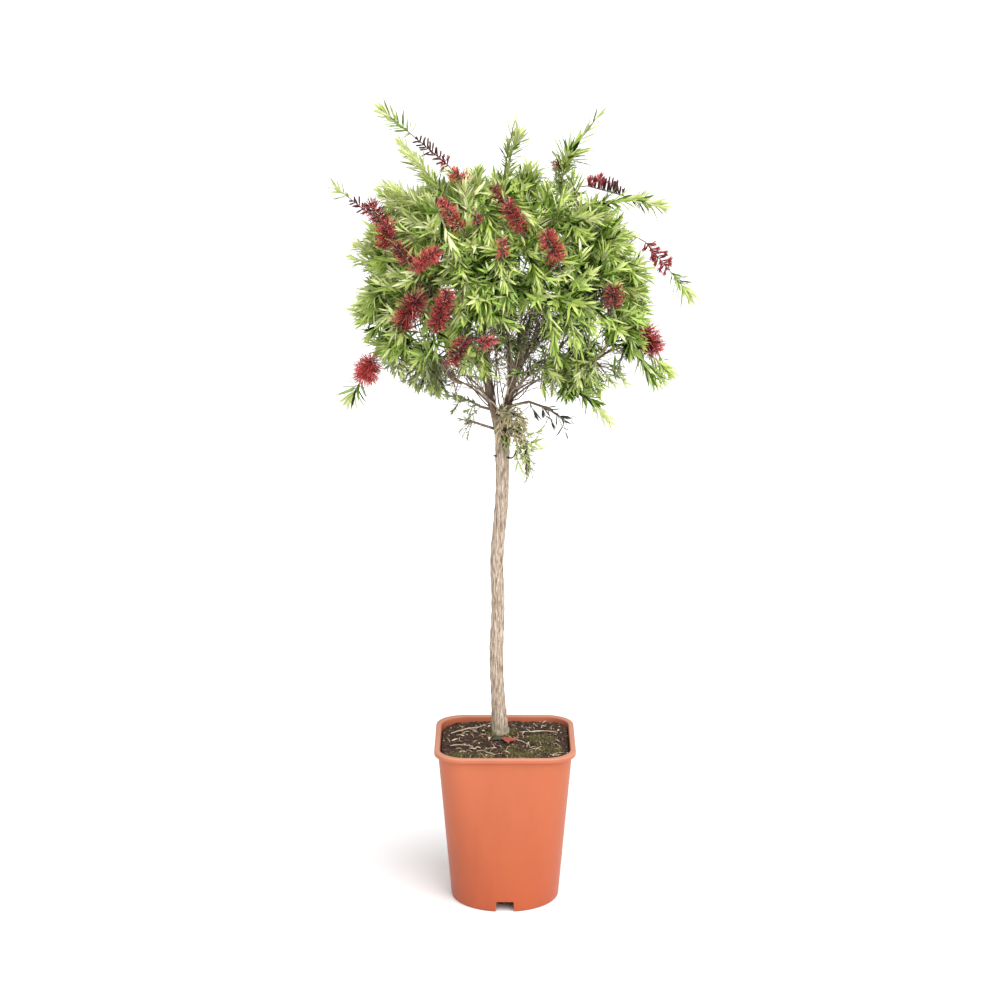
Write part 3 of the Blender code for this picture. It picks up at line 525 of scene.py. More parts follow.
def finish_of(
    name, shades, grain, roughness, bump=None, stretch=(1, 1, 1), settings=None, share=None
):
    """A finish whose colour wanders between shades on a pattern of this grain, in millimetres.

    bump is the depth in millimetres and the grain of the relief. stretch slows the pattern
    along an axis.
    """
    made = bpy.data.materials.new(name)
    made.use_nodes = True
    tree = made.node_tree
    shader = tree.nodes["Principled BSDF"]
    place = add_node(tree, "ShaderNodeTexCoord")
    turned = add_node(
        tree, "ShaderNodeMapping", inputs={"Scale": stretch}, links=[("Vector", place, "Object")]
    )
    pattern = add_node(
        tree,
        "ShaderNodeTexNoise",
        inputs={"Scale": 1000 / grain, "Detail": 4.0, "Roughness": 0.6},
        links=[("Vector", turned, "Vector")],
    )
    ramp = add_node(tree, "ShaderNodeValToRGB", links=[("Fac", pattern, "Fac")])
    paint_stops(ramp, list(zip(spread(0.30, 0.70, len(shades)), shades)), share)
    tree.links.new(ramp.outputs["Color"], shader.inputs["Base Color"])
    low, high = roughness
    span = add_node(
        tree,
        "ShaderNodeMapRange",
        inputs={"To Min": low, "To Max": high},
        links=[("Value", pattern, "Fac")],
    )
    tree.links.new(span.outputs["Result"], shader.inputs["Roughness"])
    if bump:
        depth, size = bump
        relief = add_node(
            tree,
            "ShaderNodeTexNoise",
            inputs={"Scale": 1000 / size, "Detail": 3.0},
            links=[("Vector", turned, "Vector")],
        )
        tilt = add_node(
            tree,
            "ShaderNodeBump",
            inputs={"Strength": 1.0, "Distance": depth / 1000},
            links=[("Height", relief, "Fac")],
        )
        tree.links.new(tilt.outputs["Normal"], shader.inputs["Normal"])
    for socket, value in (settings or {}).items():
        shader.inputs[socket].default_value = value
    return made


FINISHES = {}


# Plain finishes: the material's name, its shades, the grain of their pattern in millimetres
# and its roughness; then, where it shows, the depth and the grain of its relief, and how the
# pattern is drawn out along the twig.
ALONG_TWIG = (1, 1, 0.3)
PLAIN_FINISHES = {
    # Peat-free compost, sieved and watered in: near-black crumbs among brown ones.
    "compost": ("moist_compost", ("1E130C", "3A281B", "5E4631"), 5, (0.80, 1.0), (0.9, 1.6)),
    # Crumbs and chips of composted bark, broken: each darker or paler than the ground.
    "bark_chips": ("composted_bark", ("3A2518", "5A3C28", "7E5C40"), 9, (0.7, 0.95), (0.4, 1.2)),
    # Straw and fine roots, washed out and dried: the palest marks on the compost.
    "straw": ("bleached_straw_and_roots", ("B89A7C", "D8C2A2", "EEE2CC"), 14, (0.6, 0.85)),
    # Cushion moss, grown in the damp: dull olive with straw-coloured tips.
    "moss": ("cushion_moss", ("564E28", "726A3E", "968C62"), 6, (0.7, 0.95)),
    # A shed leaf, dried on the ground: brick red and half matt.
    "red_leaf": ("dead_leaf_red", ("7C2E24", "9E4434", "BC6C52"), 12, (0.45, 0.7)),
    # Young bark, grown in one or two seasons: brown-grey in short lengthwise streaks.
    "twig_bark": (
        "young_twig_bark", ("6A594B", "8A7563", "AE9882"), 7, (0.6, 0.85), (0.15, 1.4), ALONG_TWIG
    ),
    # Dead twigs inside the crown, weathered dry: grey, and paler than the live ones.
    "dead_twig": ("dead_twig_bark", ("544638", "807060", "B0A08A"), 7, (0.65, 0.9)),
    # Older stems in the fork's shade: the darkest brown, with a violet cast.
    "dark_stem": (
        "dark_stem_bark", ("3A2A2A", "54403A", "76604E"), 8, (0.6, 0.85), None, ALONG_TWIG
    ),
    # Stubs of pruned shoots, dried out: almost black.
    "stub_bark": ("dead_stub_bark", ("1E1A18", "2E2824", "443C34"), 5, (0.65, 0.9)),
    # This season's shoots, not yet woody: olive green turning to tan.
    "green_twig": ("green_shoot_bark", ("7F7B45", "9C9A58", "A98A5E"), 9, (0.5, 0.7)),
    # Pollen on the tips of the stamens: cream grains among dark ones. The palest grains also stand
    # for glints on the brushes, as a painted highlight.
    "pollen": ("anther_dust", ("4A1416", "C08A6C", "FAE2C4"), 1.5, (0.7, 0.9)),
    # Closed buds under a short down: dull wine red, almost black at the foot.
    "buds": ("bud_velvet", ("33121C", "541A28", "742C3A"), 5, (0.5, 0.75)),
    # Opening buds, with the stamens' red behind the down.
    "red_buds": ("opening_bud_velvet", ("6E1A26", "98283A", "B84A56"), 5, (0.5, 0.75)),
    # Woody seed capsules, weathered on the twig: grey-brown and matt.
    "capsules": ("seed_capsule_wood", ("4A4038", "6B5E52", "8A7A68"), 4, (0.6, 0.85)),
}
# Leaf tones from palest to darkest: the pale ones are young leaves and painted light, the dark ones
# painted shade inside the crown; then grey-green, straw and slate leaves.
LEAF_SHADES = {
    "leaf_tip": ("D6E484", "E4ECA6", "F2F6CE"),
    "leaf_pale": ("BED262", "CADC7A", "D8E694"),
    "leaf_bright": ("AAC656", "B6D068", "C4DA80"),
    "leaf_mid": ("88A648", "94B458", "A2C06A"),
    "leaf_deep": ("46660A", "567618", "68862A"),
    "leaf_shade": ("122000", "1C2E00", "2E4206"),
    "leaf_sage": ("8A9868", "A4B080", "C0CAA0"),
    "leaf_straw": ("D2C08C", "E6D8B0", "F4ECD4"),
    "leaf_slate": ("3C4240", "50564E", "666C60"),
}
STAMEN_SHADES = {
    "stamens_bright": ("E83C44", "F66A68", "FFB0A4"),
    "stamens_red": ("AA222C", "C8343A", "DC5A56"),
    "stamens_dark": ("2A060A", "480E12", "6C1E1E"),
    "stamens_faded": ("74382A", "A05A46", "C48A70"),
}
TONES = list(LEAF_SHADES)[:6]
SATIN = 0.14  # specular level of waxy leaves and of moulded plastic


def make_finishes():
    """Every finish of the plant and its pot."""
    FINISHES["pot"] = pot_finish()
    FINISHES["bark"] = bark_finish()
    for name, row in PLAIN_FINISHES.items():
        FINISHES[name] = finish_of(*row)
    # Leathery leaves: a thin waxy skin, palest on the young tips and in painted light, darkest in
    # painted shade.
    wax = {"Specular IOR Level": SATIN}
    for name, shades in LEAF_SHADES.items():
        FINISHES[name] = finish_of(name, shades, 22, (0.38, 0.55), (0.08, 1.5), settings=wax)
    # Stamens: silky threads, from pink-red on fresh flowers to brown on spent ones.
    for name, shades in STAMEN_SHADES.items():
        FINISHES[name] = finish_of(name, shades, 5, (0.4, 0.6))


# The pot's colour from the ground to the rim: share of the height, and shade. The darker foot is
# painted shade, and the pale top of the rim is a painted highlight.
POT_RISE = ((0.0, "BC5E3C"), (0.45, "C46846"), (0.97, "CC7250"), (0.988, "C87658"), (1.0, "D6947A"))
ALGAE = (0.002, 0.034)  # height above the foot at which it is thickest, and at which it ends
# The fork's bark under the crown is darkened as painted shade.
FORK_SHADE = (0.735, 0.790)  # heights between which the fork's bark darkens
BARK_SHADES = ((0.36, "6E5A4A"), (0.5, "B8A28C"), (0.62, "E6D8C8"))


def pot_finish():
    """Injection-moulded polypropylene: a satin skin, with painted shade towards the foot, a painted
    highlight on the rim, and soil stain and painted shade inside.
    """
    # The colour drifts a little down the flow of the plastic, and the orange-peel relief is
    # too fine to see as more than softness.
    made = finish_of(
        "moulded_polypropylene",
        ("F2F2F2", "FAFAFA", "FFFFFF"),
        grain=60,
        roughness=(0.34, 0.46),
        bump=(0.05, 2.5),
        stretch=(1, 1, 0.25),
        settings={"Specular IOR Level": SATIN},
        share=1.0,
    )
    tree = made.node_tree
    shader = tree.nodes["Principled BSDF"]
    drift = shader.inputs["Base Color"].links[0].from_node
    place = add_node(tree, "ShaderNodeTexCoord")
    height = add_node(tree, "ShaderNodeSeparateXYZ", links=[("Vector", place, "Object")])
    share = add_node(
        tree,
        "ShaderNodeMapRange",
        inputs={"From Min": 0.0, "From Max": POT_HEIGHT},
        links=[("Value", height, "Z")],
    )
    # Painted shade and highlight: darker towards the foot, paler on the top of the rim.
    painted_rise = add_node(tree, "ShaderNodeValToRGB", links=[("Fac", share, "Result")])
    paint_stops(painted_rise, POT_RISE)
    skin = add_node(
        tree,
        "ShaderNodeMix",
        settings={"data_type": "RGBA", "blend_type": "MULTIPLY"},
        inputs={"Factor": 1.0},
        links=[("A", painted_rise, "Color"), ("B", drift, "Color")],
    )
    # Inside the wall the colour turns dark brown: partly soil stain, partly painted shade.
    soiled = add_node(tree, "ShaderNodeAttribute", settings={"attribute_name": "soiled"})
    inner = add_node(
        tree,
        "ShaderNodeMix",
        settings={"data_type": "RGBA"},
        inputs={"B": surface("54281A")},
        links=[("Factor", soiled, "Fac"), ("A", skin, "Result")],
    )
    tree.links.new(inner.outputs["Result"], shader.inputs["Base Color"])
    return made


def bark_finish():
    """Grey-tan strings of bark along the trunk, green with algae near the compost, and darker on
    the fork as painted shade.
    """
    made = bpy.data.materials.new("stringy_bark")
    made.use_nodes = True
    tree = made.node_tree
    shader = tree.nodes["Principled BSDF"]
    place = add_node(tree, "ShaderNodeTexCoord")
    along = add_node(
        tree,
        "ShaderNodeMapping",
        inputs={"Scale": (1, 1, 0.09)},
        links=[("Vector", place, "Object")],
    )
    strings = add_node(
        tree,
        "ShaderNodeTexNoise",
        inputs={"Scale": 560.0, "Detail": 6.0, "Roughness": 0.70},
        links=[("Vector", along, "Vector")],
    )
    colour = add_node(tree, "ShaderNodeValToRGB", links=[("Fac", strings, "Fac")])
    paint_stops(colour, BARK_SHADES)
    height = add_node(tree, "ShaderNodeSeparateXYZ", links=[("Vector", place, "Object")])
    foot = add_node(
        tree,
        "ShaderNodeMapRange",
        inputs={
            "From Min": FOOT.z + ALGAE[1],
            "From Max": FOOT.z + ALGAE[0],
            "To Min": 0.0,
            "To Max": 0.75,
        },
        links=[("Value", height, "Z")],
    )
    blotch = add_node(
        tree,
        "ShaderNodeTexNoise",
        inputs={"Scale": 120.0, "Detail": 3.0},
        links=[("Vector", place, "Object")],
    )
    green = add_node(
        tree,
        "ShaderNodeMath",
        settings={"operation": "MULTIPLY"},
        links=[(0, foot, "Result"), (1, blotch, "Fac")],
    )
    # Painted shade: the bark darkens from these heights up into the fork.
    old = add_node(
        tree,
        "ShaderNodeMapRange",
        inputs={"From Min": FORK_SHADE[0], "From Max": FORK_SHADE[1], "To Min": 0.0, "To Max": 0.85},
        links=[("Value", height, "Z")],
    )
    algae = add_node(
        tree,
        "ShaderNodeMix",
        settings={"data_type": "RGBA"},
        inputs={"B": linear("6D7440")},
        links=[("Factor", green, "Value"), ("A", colour, "Color")],
    )
    darker = add_node(
        tree,
        "ShaderNodeMix",
        settings={"data_type": "RGBA", "blend_type": "MULTIPLY"},
        inputs={"B": linear("A29284")},
        links=[("Factor", old, "Result"), ("A", algae, "Result")],
    )
    tree.links.new(darker.outputs["Result"], shader.inputs["Base Color"])
    tilt = add_node(
        tree,
        "ShaderNodeBump",
        inputs={"Strength": 1.0, "Distance": 0.0009},
        links=[("Height", strings, "Fac")],
    )
    tree.links.new(tilt.outputs["Normal"], shader.inputs["Normal"])
    shader.inputs["Roughness"].default_value = 0.88
    return made


# ---------------------------------------------------------------- lines and limbs


@dataclass
class Limb:
    """A tapering round limb: its middle line, and its radius at each point of that."""

    line: list
    radii: list

    def at(self, share):
        """The point at a share of the line, and the way the line heads there."""
        place = share * (len(self.line) - 1)
        span = min(int(place), len(self.line) - 2)
        start, end = self.line[span], self.line[span + 1]
        return start.lerp(end, place - span), (end - start).normalized()

    def radius(self, share):
        """The limb's radius at a share of its line."""
        place = share * (len(self.line) - 1)
        span = min(int(place), len(self.line) - 2)
        return self.radii[span] + (self.radii[span + 1] - self.radii[span]) * (place - span)

    def length(self):
        """The length of the line."""
        return sum((end - start).length for start, end in zip(self.line, self.line[1:]))

    def beyond(self, station):
        """The rest of the limb from a station on."""
        return Limb(self.line[station:], self.radii[station:])


def twiglet(start, end, radii):
    """A straight limb of three stations."""
    return Limb([start, start.lerp(end, 0.5), end], list(radii))


@dataclass
class Mass:
    """A mass of foliage, with the middle of its space and the twig tips that fall in it."""

    name: str
    middle: Vector
    share: float = 1.0
    bough: Limb = None
    stem: Limb = None
    tips: list = field(default_factory=list)


@dataclass
class Tip:
    """Where a twig ends, and the flower or spray that it runs through first.

    kind is the flower's or the spike's, or "spray"; tone is a spray's own.
    """

    end: Vector
    ends: tuple = None
    kind: str = None
    radius: float = 0.0
    tone: int = None
    long: bool = False


def seen_heading(bearing, lean, lift):
    """The heading that leans this far clockwise from upright, as seen from outside."""
    outward = bearing_point(bearing, 1, 0)
    right = UP.cross(outward)
    turn = math.radians(lean)
    return (UP * math.cos(turn) + right * math.sin(turn) + outward * lift).normalized()


def bearing_point(bearing, radius, height):
    """The point at a bearing and a height, this far from the pot's axis."""
    turn = math.radians(bearing)
    return Vector((radius * math.sin(turn), -radius * math.cos(turn), height))


def from_mm(points):
    """Points given in millimetres."""
    return [Vector([value / 1000 for value in point]) for point in points]


def spread(low, high, count):
    """Evenly spaced values from low to high."""
    return [low + (high - low) * step / (count - 1) for step in range(count)]


def spline(points, count):
    """Points along a smooth curve that runs through the given ones."""
    spans = len(points) - 1
    line = []
    for place in spread(0, spans, count):
        span = min(int(place), spans - 1)
        part = place - span
        before, start = points[max(span - 1, 0)], points[span]
        end, after = points[span + 1], points[min(span + 2, spans)]
        slope = (end - before) * part
        curve = (2 * before - 5 * start + 4 * end - after) * part**2
        twist = (3 * start - before - 3 * end + after) * part**3
        line.append((2 * start + slope + curve + twist) / 2)
    return line


def around(heading):
    """Two directions square to a heading and to each other."""
    side = heading.orthogonal().normalized()
    return side, heading.cross(side)


def beside(heading, turn):
    """The direction square to a heading, at a turn in degrees round it."""
    side, across = around(heading)
    return side * math.cos(math.radians(turn)) + across * math.sin(math.radians(turn))


def gust(rng, strength):
    """A push in any direction, mostly a weak one."""
    return Vector([rng.gauss(0, strength) for _ in range(3)])


def arc(start, bend, end, count):
    """Points along a curve that leaves the start towards the bend and arrives from it."""
    return [start.lerp(bend, part).lerp(bend.lerp(end, part), part) for part in spread(0, 1, count)]


def segment_distance(start, end, low, high):
    """The least distance between two straight segments."""
    one, two, between = end - start, high - low, start - low
    one_sq, two_sq = one.length_squared, two.length_squared
    cross, lift = one.dot(two), two.dot(between)
    slope = one.dot(between)
    spare = one_sq * two_sq - cross * cross
    share = min(max((cross * lift - slope * two_sq) / spare, 0), 1) if spare > 1e-14 else 0.0
    other = (cross * share + lift) / two_sq
    if other < 0 or other > 1:
        other = min(max(other, 0), 1)
        share = min(max((cross * other - slope) / one_sq, 0), 1)
    return (start + one * share - low - two * other).length


def limb_clearance(start, end, limb, first=0):
    """How far a segment stays from a limb's surface, from the limb's given station on."""
    least = 1.0
    for index in range(first, len(limb.line) - 1):
        apart = segment_distance(start, end, limb.line[index], limb.line[index + 1])
        least = min(least, apart - max(limb.radii[index], limb.radii[index + 1]))
    return least


# ---------------------------------------------------------------- the crown's plan


def crown_radius(height):
    """Radius of the crown's outline at a height."""
    rise = min(abs(height - CROWN_MIDDLE) / CROWN_RISE, 1)
    return CROWN_RADIUS * (1 - rise**CROWN_SQUARENESS) ** (1 / CROWN_SQUARENESS)


def plan_masses():
    """The masses, tier by tier, then the small ones on the old wood."""
    masses = []
    for tier, number, radius, height, bearing, share in TIERS:
        for index in range(number):
            name = f"mass_{tier}_{index + 1}"
            middle = bearing_point(bearing + 360 * index / number, radius, height)
            masses.append(Mass(name, middle, share))
    for name, middle, line in OLD_WOOD_SHOOTS:
        stem = Limb(from_mm(line), spread(*STEM_RADIUS, len(line)))
        masses.append(Mass(name, from_mm([middle])[0], stem=stem))
    return masses


def room(point, mass, masses):
    """Distance from a point to the nearest edge of a mass's space, negative outside it."""
    least = 1.0
    for other in masses:
        if other is not mass:
            apart = other.middle - mass.middle
            edge = (other.middle + mass.middle) / 2
            least = min(least, (edge - point).dot(apart) / apart.length)
    return least


def owner(point, masses):
    """The mass in whose space a point lies."""
    return min(masses, key=lambda mass: (mass.middle - point).length)


def plan_flowers(masses):
    """Gives each flower on the crown's outside to the mass that holds it."""
    places = list(FLOWERS)
    for bearing, height, length, lean, radius, kind in FLOWERS[1::FAR_EVERY]:
        wide = abs(crown_radius(height) * math.sin(math.radians(bearing + FAR_SIDE)))
        if wide < FAR_WIDTH and height < FAR_TOP:
            places.append((bearing + FAR_SIDE, height, length, -lean, radius, kind))
    for bearing, height, length, lean, radius, kind in places:
        heading = seen_heading(bearing, lean, BRUSH_LIFT)
        middle = bearing_point(bearing, crown_radius(height) - FLOWER_DEPTH, height)
        ends = (middle - heading * length / 2, middle + heading * length / 2)
        tip = Tip(ends[1] + heading * 0.010, ends, kind, radius)
        owner(middle, masses).tips.append(tip)


def plan_sprays(masses):
    """Gives each shaping spray to the mass that holds it. Every second one is met behind too.

    Behind, only those are met that stay inside the crown's outline as seen from the front.
    """
    places = list(SPRAYS)
    for bearing, reach, height, length, lean, tone in SPRAYS[::FAR_EVERY]:
        wide = abs(reach * math.sin(math.radians(bearing + FAR_SIDE)))
        if wide < FAR_WIDTH and height < FAR_TOP:
            places.append((bearing + FAR_SIDE, reach, height, length, -lean, tone))
    front = UP.cross(Vector((0, -1, 0)))
    for bearing, reach, height, length, lean, tone in places:
        tip = bearing_point(bearing, reach, height)
        side = front if tip.y < 0.06 else -front
        turn = math.radians(lean)
        outward = bearing_point(bearing, 1, 0)
        heading = (UP * math.cos(turn) + side * math.sin(turn) + outward * 0.25).normalized()
        end = tip - heading * LEAF_LENGTH * 0.6
        start = tip - heading * length
        owner(start, masses).tips.append(Tip(end, (start, end), "spray", tone=tone))


def plan_long_shoots(masses):
    """Gives each long shoot to the mass that holds its tip."""
    for tip_place, middle_place, kind in LONG_SHOOTS:
        tip, middle = bearing_point(*tip_place), bearing_point(*middle_place)
        mass = owner(tip, masses)
        heading = (tip - middle).normalized()
        half, radius = LONG_FORMS[kind]
        ends = (middle - heading * half, middle + heading * half)
        mass.tips.append(Tip(tip - heading * LEAF_LENGTH * 0.6, ends, kind, radius, long=True))


def plan_tips(masses, rng):
    """Spreads twig tips evenly over the crown by the golden angle, and shares them out."""
    taken = [tip.ends for mass in masses for tip in mass.tips if tip.ends]
    power = CROWN_SQUARENESS
    for inset, count in TIP_LAYERS:
        for index in range(count):
            rise = 1 - 2 * (index + 0.5) / count
            flat = math.sqrt(1 - rise**2)
            scale = (flat**power + abs(rise) ** power) ** (-1 / power)
            radius = (CROWN_RADIUS - inset) * flat * scale
            height = CROWN_MIDDLE + (CROWN_RISE - inset) * rise * scale
            tip = bearing_point(index * GOLDEN_ANGLE, radius, height)
            tip += Vector([rng.uniform(-TIP_SHIFT, TIP_SHIFT) for _ in range(3)])
            if radius < OPEN_RADIUS and height < OPEN_HEIGHT:
                continue
            inward = Vector((0, 0, CROWN_MIDDLE)) - tip
            tip += inward.normalized() * dent_at(tip)
            if all(segment_distance(tip, tip + UP * GAP, *ends) > BRUSH_SPACE for ends in taken):
                owner(tip, masses).tips.append(Tip(tip))


def dent_at(point):
    """How far the crown's outline lies further in at a point than that of an even crown."""
    return sum(
        depth * math.exp(-((point - Vector(middle)).length_squared) / span**2)
        for middle, span, depth in DENTS
    )


def droop_at(height):
    """How far shoots hang over at a height: not at all at the top, most at the bottom."""
    return DROOP * min(max((DROOP_TOP - height) / DROOP_SPAN, 0), 1)


def bough_line(mass, limb, share, masses):
    """A bough that leaves a limb at a slant and ends just inside its mass's space."""
    root, heading = limb.at(share)
    reach = next(
        part
        for part in spread(BARE_SHARE, 1, 30)
        if room(root.lerp(mass.middle, part), mass, masses) > ENTRY_ROOM or part == 1
    )
    end = root.lerp(mass.middle, reach)
    away = end - root
    bend = root + heading * BOUGH_SWAY[0] * away.length + away * BOUGH_SWAY[1]
    inside = min(BOUGH_LEAVES * limb.radius(share) / away.length, 0.5)
    leaving = root.lerp(bend, 2 * inside)
    return [root, *arc(leaving, bend, end, BOUGH_STATIONS)]


def crowding(bough, others, grown):
    """How near a bough comes to limbs and to grown boughs, past the stretch inside its limb."""
    least = 1.0
    for start, end, radius in zip(bough.line[1:], bough.line[2:], bough.radii[1:]):
        for limb in others:
            least = min(least, limb_clearance(start, end, limb) - radius)
        for limb in grown:
            least = min(least, limb_clearance(start, end, limb, 1) - radius)
    return least


def grow_boughs(masses, limbs):
    """One bough for each mass in the tiers, as clear of the others as its limb allows."""
    grown = []
    for mass in masses:
        if mass.stem:
            continue
        name = "limb_left" if mass.middle.x < 0 else "limb_right"
        others = [limb for key, limb in limbs.items() if key != name]
        most = None
        for shift in BOUGH_SHIFTS:
            share = min(max(mass.share + shift, LEAST_SHARE), 1)
            line = bough_line(mass, limbs[name], share, masses)
            bough = Limb(line, spread(*BOUGH_RADIUS, len(line)))
            clear = crowding(bough, others, grown)
            if most is None or clear > most:
                most = clear
                mass.bough = bough
            if clear > 2 * GAP:
                break
        grown.append(mass.bough)


def stem_of(mass):
    """The mass's stem carries on from its bough."""
    tip, heading = mass.bough.at(1)
    middle = mass.middle
    bend = tip + heading * (middle - tip).length * STEM_SWAY
    return Limb(arc(tip, bend, middle, STEM_STATIONS), spread(*STEM_RADIUS, STEM_STATIONS))


def twigs_of(mass, stem):
    """A twig for each tip. They leave the stem at a slant, one after another."""
    start, end = stem.line[0], stem.line[-1]
    along = end - start
    placed = []
    for tip in mass.tips:
        goal = tip.ends[0] if tip.ends else tip.end
        forward = (goal - start).dot(along) / along.length_squared
        aside = (goal - start - along * forward).length / along.length
        placed.append((min(max(forward - TWIG_LEAD * aside, 0), 1), goal, tip))
    placed.sort(key=lambda entry: entry[0])
    onward, direct, lift = TWIG_SWAY
    twigs = []
    for rank, (share, goal, tip) in enumerate(placed):
        even = rank / max(len(placed) - 1, 1)
        root, heading = stem.at(TWIG_FIRST + (TWIG_LAST - TWIG_FIRST) * (share + even) / 2)
        away = goal - root
        bend = root + (heading * onward + UP * lift) * away.length + away * direct
        if tip.ends:
            ahead = (tip.ends[1] - tip.ends[0]).normalized()
            bend = goal - ahead * min(away.length * 0.45, 0.045)
        line = arc(root, bend, goal, TWIG_STATIONS)
        if tip.ends:
            middle = tip.ends[0].lerp(tip.ends[1], 0.5)
            line += [middle, tip.ends[1]]
            if tip.kind != "spray":
                line.append(tip.end)
        elif not tip.long:
            last = (line[-1] - line[-2]).normalized()
            last = (last * (1.1 - droop_at(goal.z)) - UP * droop_at(goal.z)).normalized()
            line.append(goal + last * 0.020)
        twigs.append((Limb(line, spread(*TWIG_RADIUS, len(line))), tip))
    return twigs


# ---------------------------------------------------------------- gathered meshes


class Gathered:
    """Corners and faces of one finish, gathered until they become one or more pieces."""

    def __init__(self):
        self.points = []
        self.faces = []
        self.count = 0

    def add(self, points, faces):
        """Adds shapes: an array of corners, and an array of faces that all have as many."""
        points = np.asarray(points, float)
        self.points.append(points)
        self.faces.append(np.asarray(faces, int) + self.count)
        self.count += len(points)

    def pieces(self, name, finish, nodes, slot_name, smooth):
        """Makes the pieces, each under the limit of faces."""
        corners = np.concatenate(self.points)
        faces = [face for block in self.faces for face in block.tolist()]
        number = max(1, -(-len(faces) // MOST_FACES))
        size = -(-len(faces) // number)
        for part in range(number):
            some = faces[part * size : (part + 1) * size]
            used = sorted({corner for face in some for corner in face})
            places = {corner: place for place, corner in enumerate(used)}
            mesh = bpy.data.meshes.new(name)
            mesh.from_pydata(
                corners[used].tolist(), [], [[places[corner] for corner in face] for face in some]
            )
            mesh.polygons.foreach_set("use_smooth", [smooth] * len(some))
            mesh.update()
            mesh.materials.append(FINISHES[finish])
            made = bpy.data.objects.new(f"{name}_{part + 1}" if number > 1 else name, mesh)
            bpy.context.scene.collection.objects.link(made)
            belongs(made, nodes)


def belongs(made, nodes):
    """Ties a piece to the plant: what it rides on, and the nodes that it replaces."""
    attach(made, "root")
    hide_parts(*nodes)


def hold(made):
    """Selects one object alone and makes it the active one."""
    bpy.ops.object.select_all(action="DESELECT")
    bpy.context.view_layer.objects.active = made
    made.select_set(True)


HEAPS = {}


def heap(name):
    """The gathered mesh of this name."""
    return HEAPS.setdefault(name, Gathered())


def add_tube(name, limb, sides, wobble=0.0, seed=0):
    """Adds a closed tapering tube along a limb's line."""
    points = []
    side = Vector((1, 0.13, 0)).normalized()
    last = len(limb.line) - 1
    for index, (middle, radius) in enumerate(zip(limb.line, limb.radii)):
        along = (limb.line[min(index + 1, last)] - limb.line[max(index - 1, 0)]).normalized()
        if abs(side.dot(along)) > 0.95:
            side = along.orthogonal()
        side = (side - along * side.dot(along)).normalized()
        across = along.cross(side)
        for step in range(sides):
            turn = math.tau * step / sides
            reach = radius * (1 + wobble * math.sin(3 * turn + 1.7 * index + seed))
            points.append(middle + reach * (side * math.cos(turn) + across * math.sin(turn)))
    faces = []
    for row in range(last):
        for step in range(sides):
            left, right = row * sides + step, row * sides + (step + 1) % sides
            faces.append((left, right, right + sides))
            faces.append((left, right + sides, left + sides))
    for row in (0, last):
        ends = [row * sides + step for step in range(sides)]
        for step in range(1, sides - 1):
            cap = (ends[0], ends[step + 1], ends[step])
            faces.append(cap if row == 0 else cap[::-1])
    heap(name).add([tuple(point) for point in points], faces)


def repeat(name, shapes, pattern):
    """Adds many shapes of the same faces: shape by shape, each a row of corners."""
    starts = np.arange(len(shapes))[:, None, None] * shapes.shape[1]
    faces = (np.array(pattern)[None] + starts).reshape(-1, 3)
    heap(name).add(shapes.reshape(-1, 3), faces)


def unit(rows):
    """The rows of an array, each made one long."""
    return rows / np.maximum(np.linalg.norm(rows, axis=1, keepdims=True), 1e-9)


def add_blades(name, rows):
    """Adds leaf blades: folded along the midrib, widest past the middle, and bent back.

    A row holds a blade's root, way, face, length, width and curl.
    """
    data = np.array(rows, float)
    roots, ways = data[:, :3], unit(data[:, 3:6])
    across = unit(np.cross(ways, data[:, 6:9]))
    above = np.cross(across, ways)
    lengths, widths, curls = data[:, 9:10], data[:, 10:11], data[:, 11:]

    def corner(share, side, width):
        """One corner of every blade."""
        half = widths / 2 * width
        lift = half * LEAF_FOLD * abs(side) - curls * lengths * share**2
        return roots + ways * lengths * share + across * half * side + above * lift

    rings = [corner(0, 0, 0)]
    for share, width in LEAF_STATIONS:
        rings += [corner(share, side, width) for side in (-1, 0, 1)]
    rings.append(corner(1, 0, 0))
    pattern = [(0, 2, 1), (0, 3, 2)]
    for station in range(len(LEAF_STATIONS) - 1):
        low = 1 + 3 * station
        for left in (low, low + 1):
            pattern += [(left, left + 1, left + 4), (left, left + 4, left + 3)]
    low = 1 + 3 * (len(LEAF_STATIONS) - 1)
    tip = low + 3
    pattern += [(low, low + 1, tip), (low + 1, low + 2, tip)]
    repeat(name, np.stack(rings, axis=1), pattern)


# ---------------------------------------------------------------- shoots and leaves


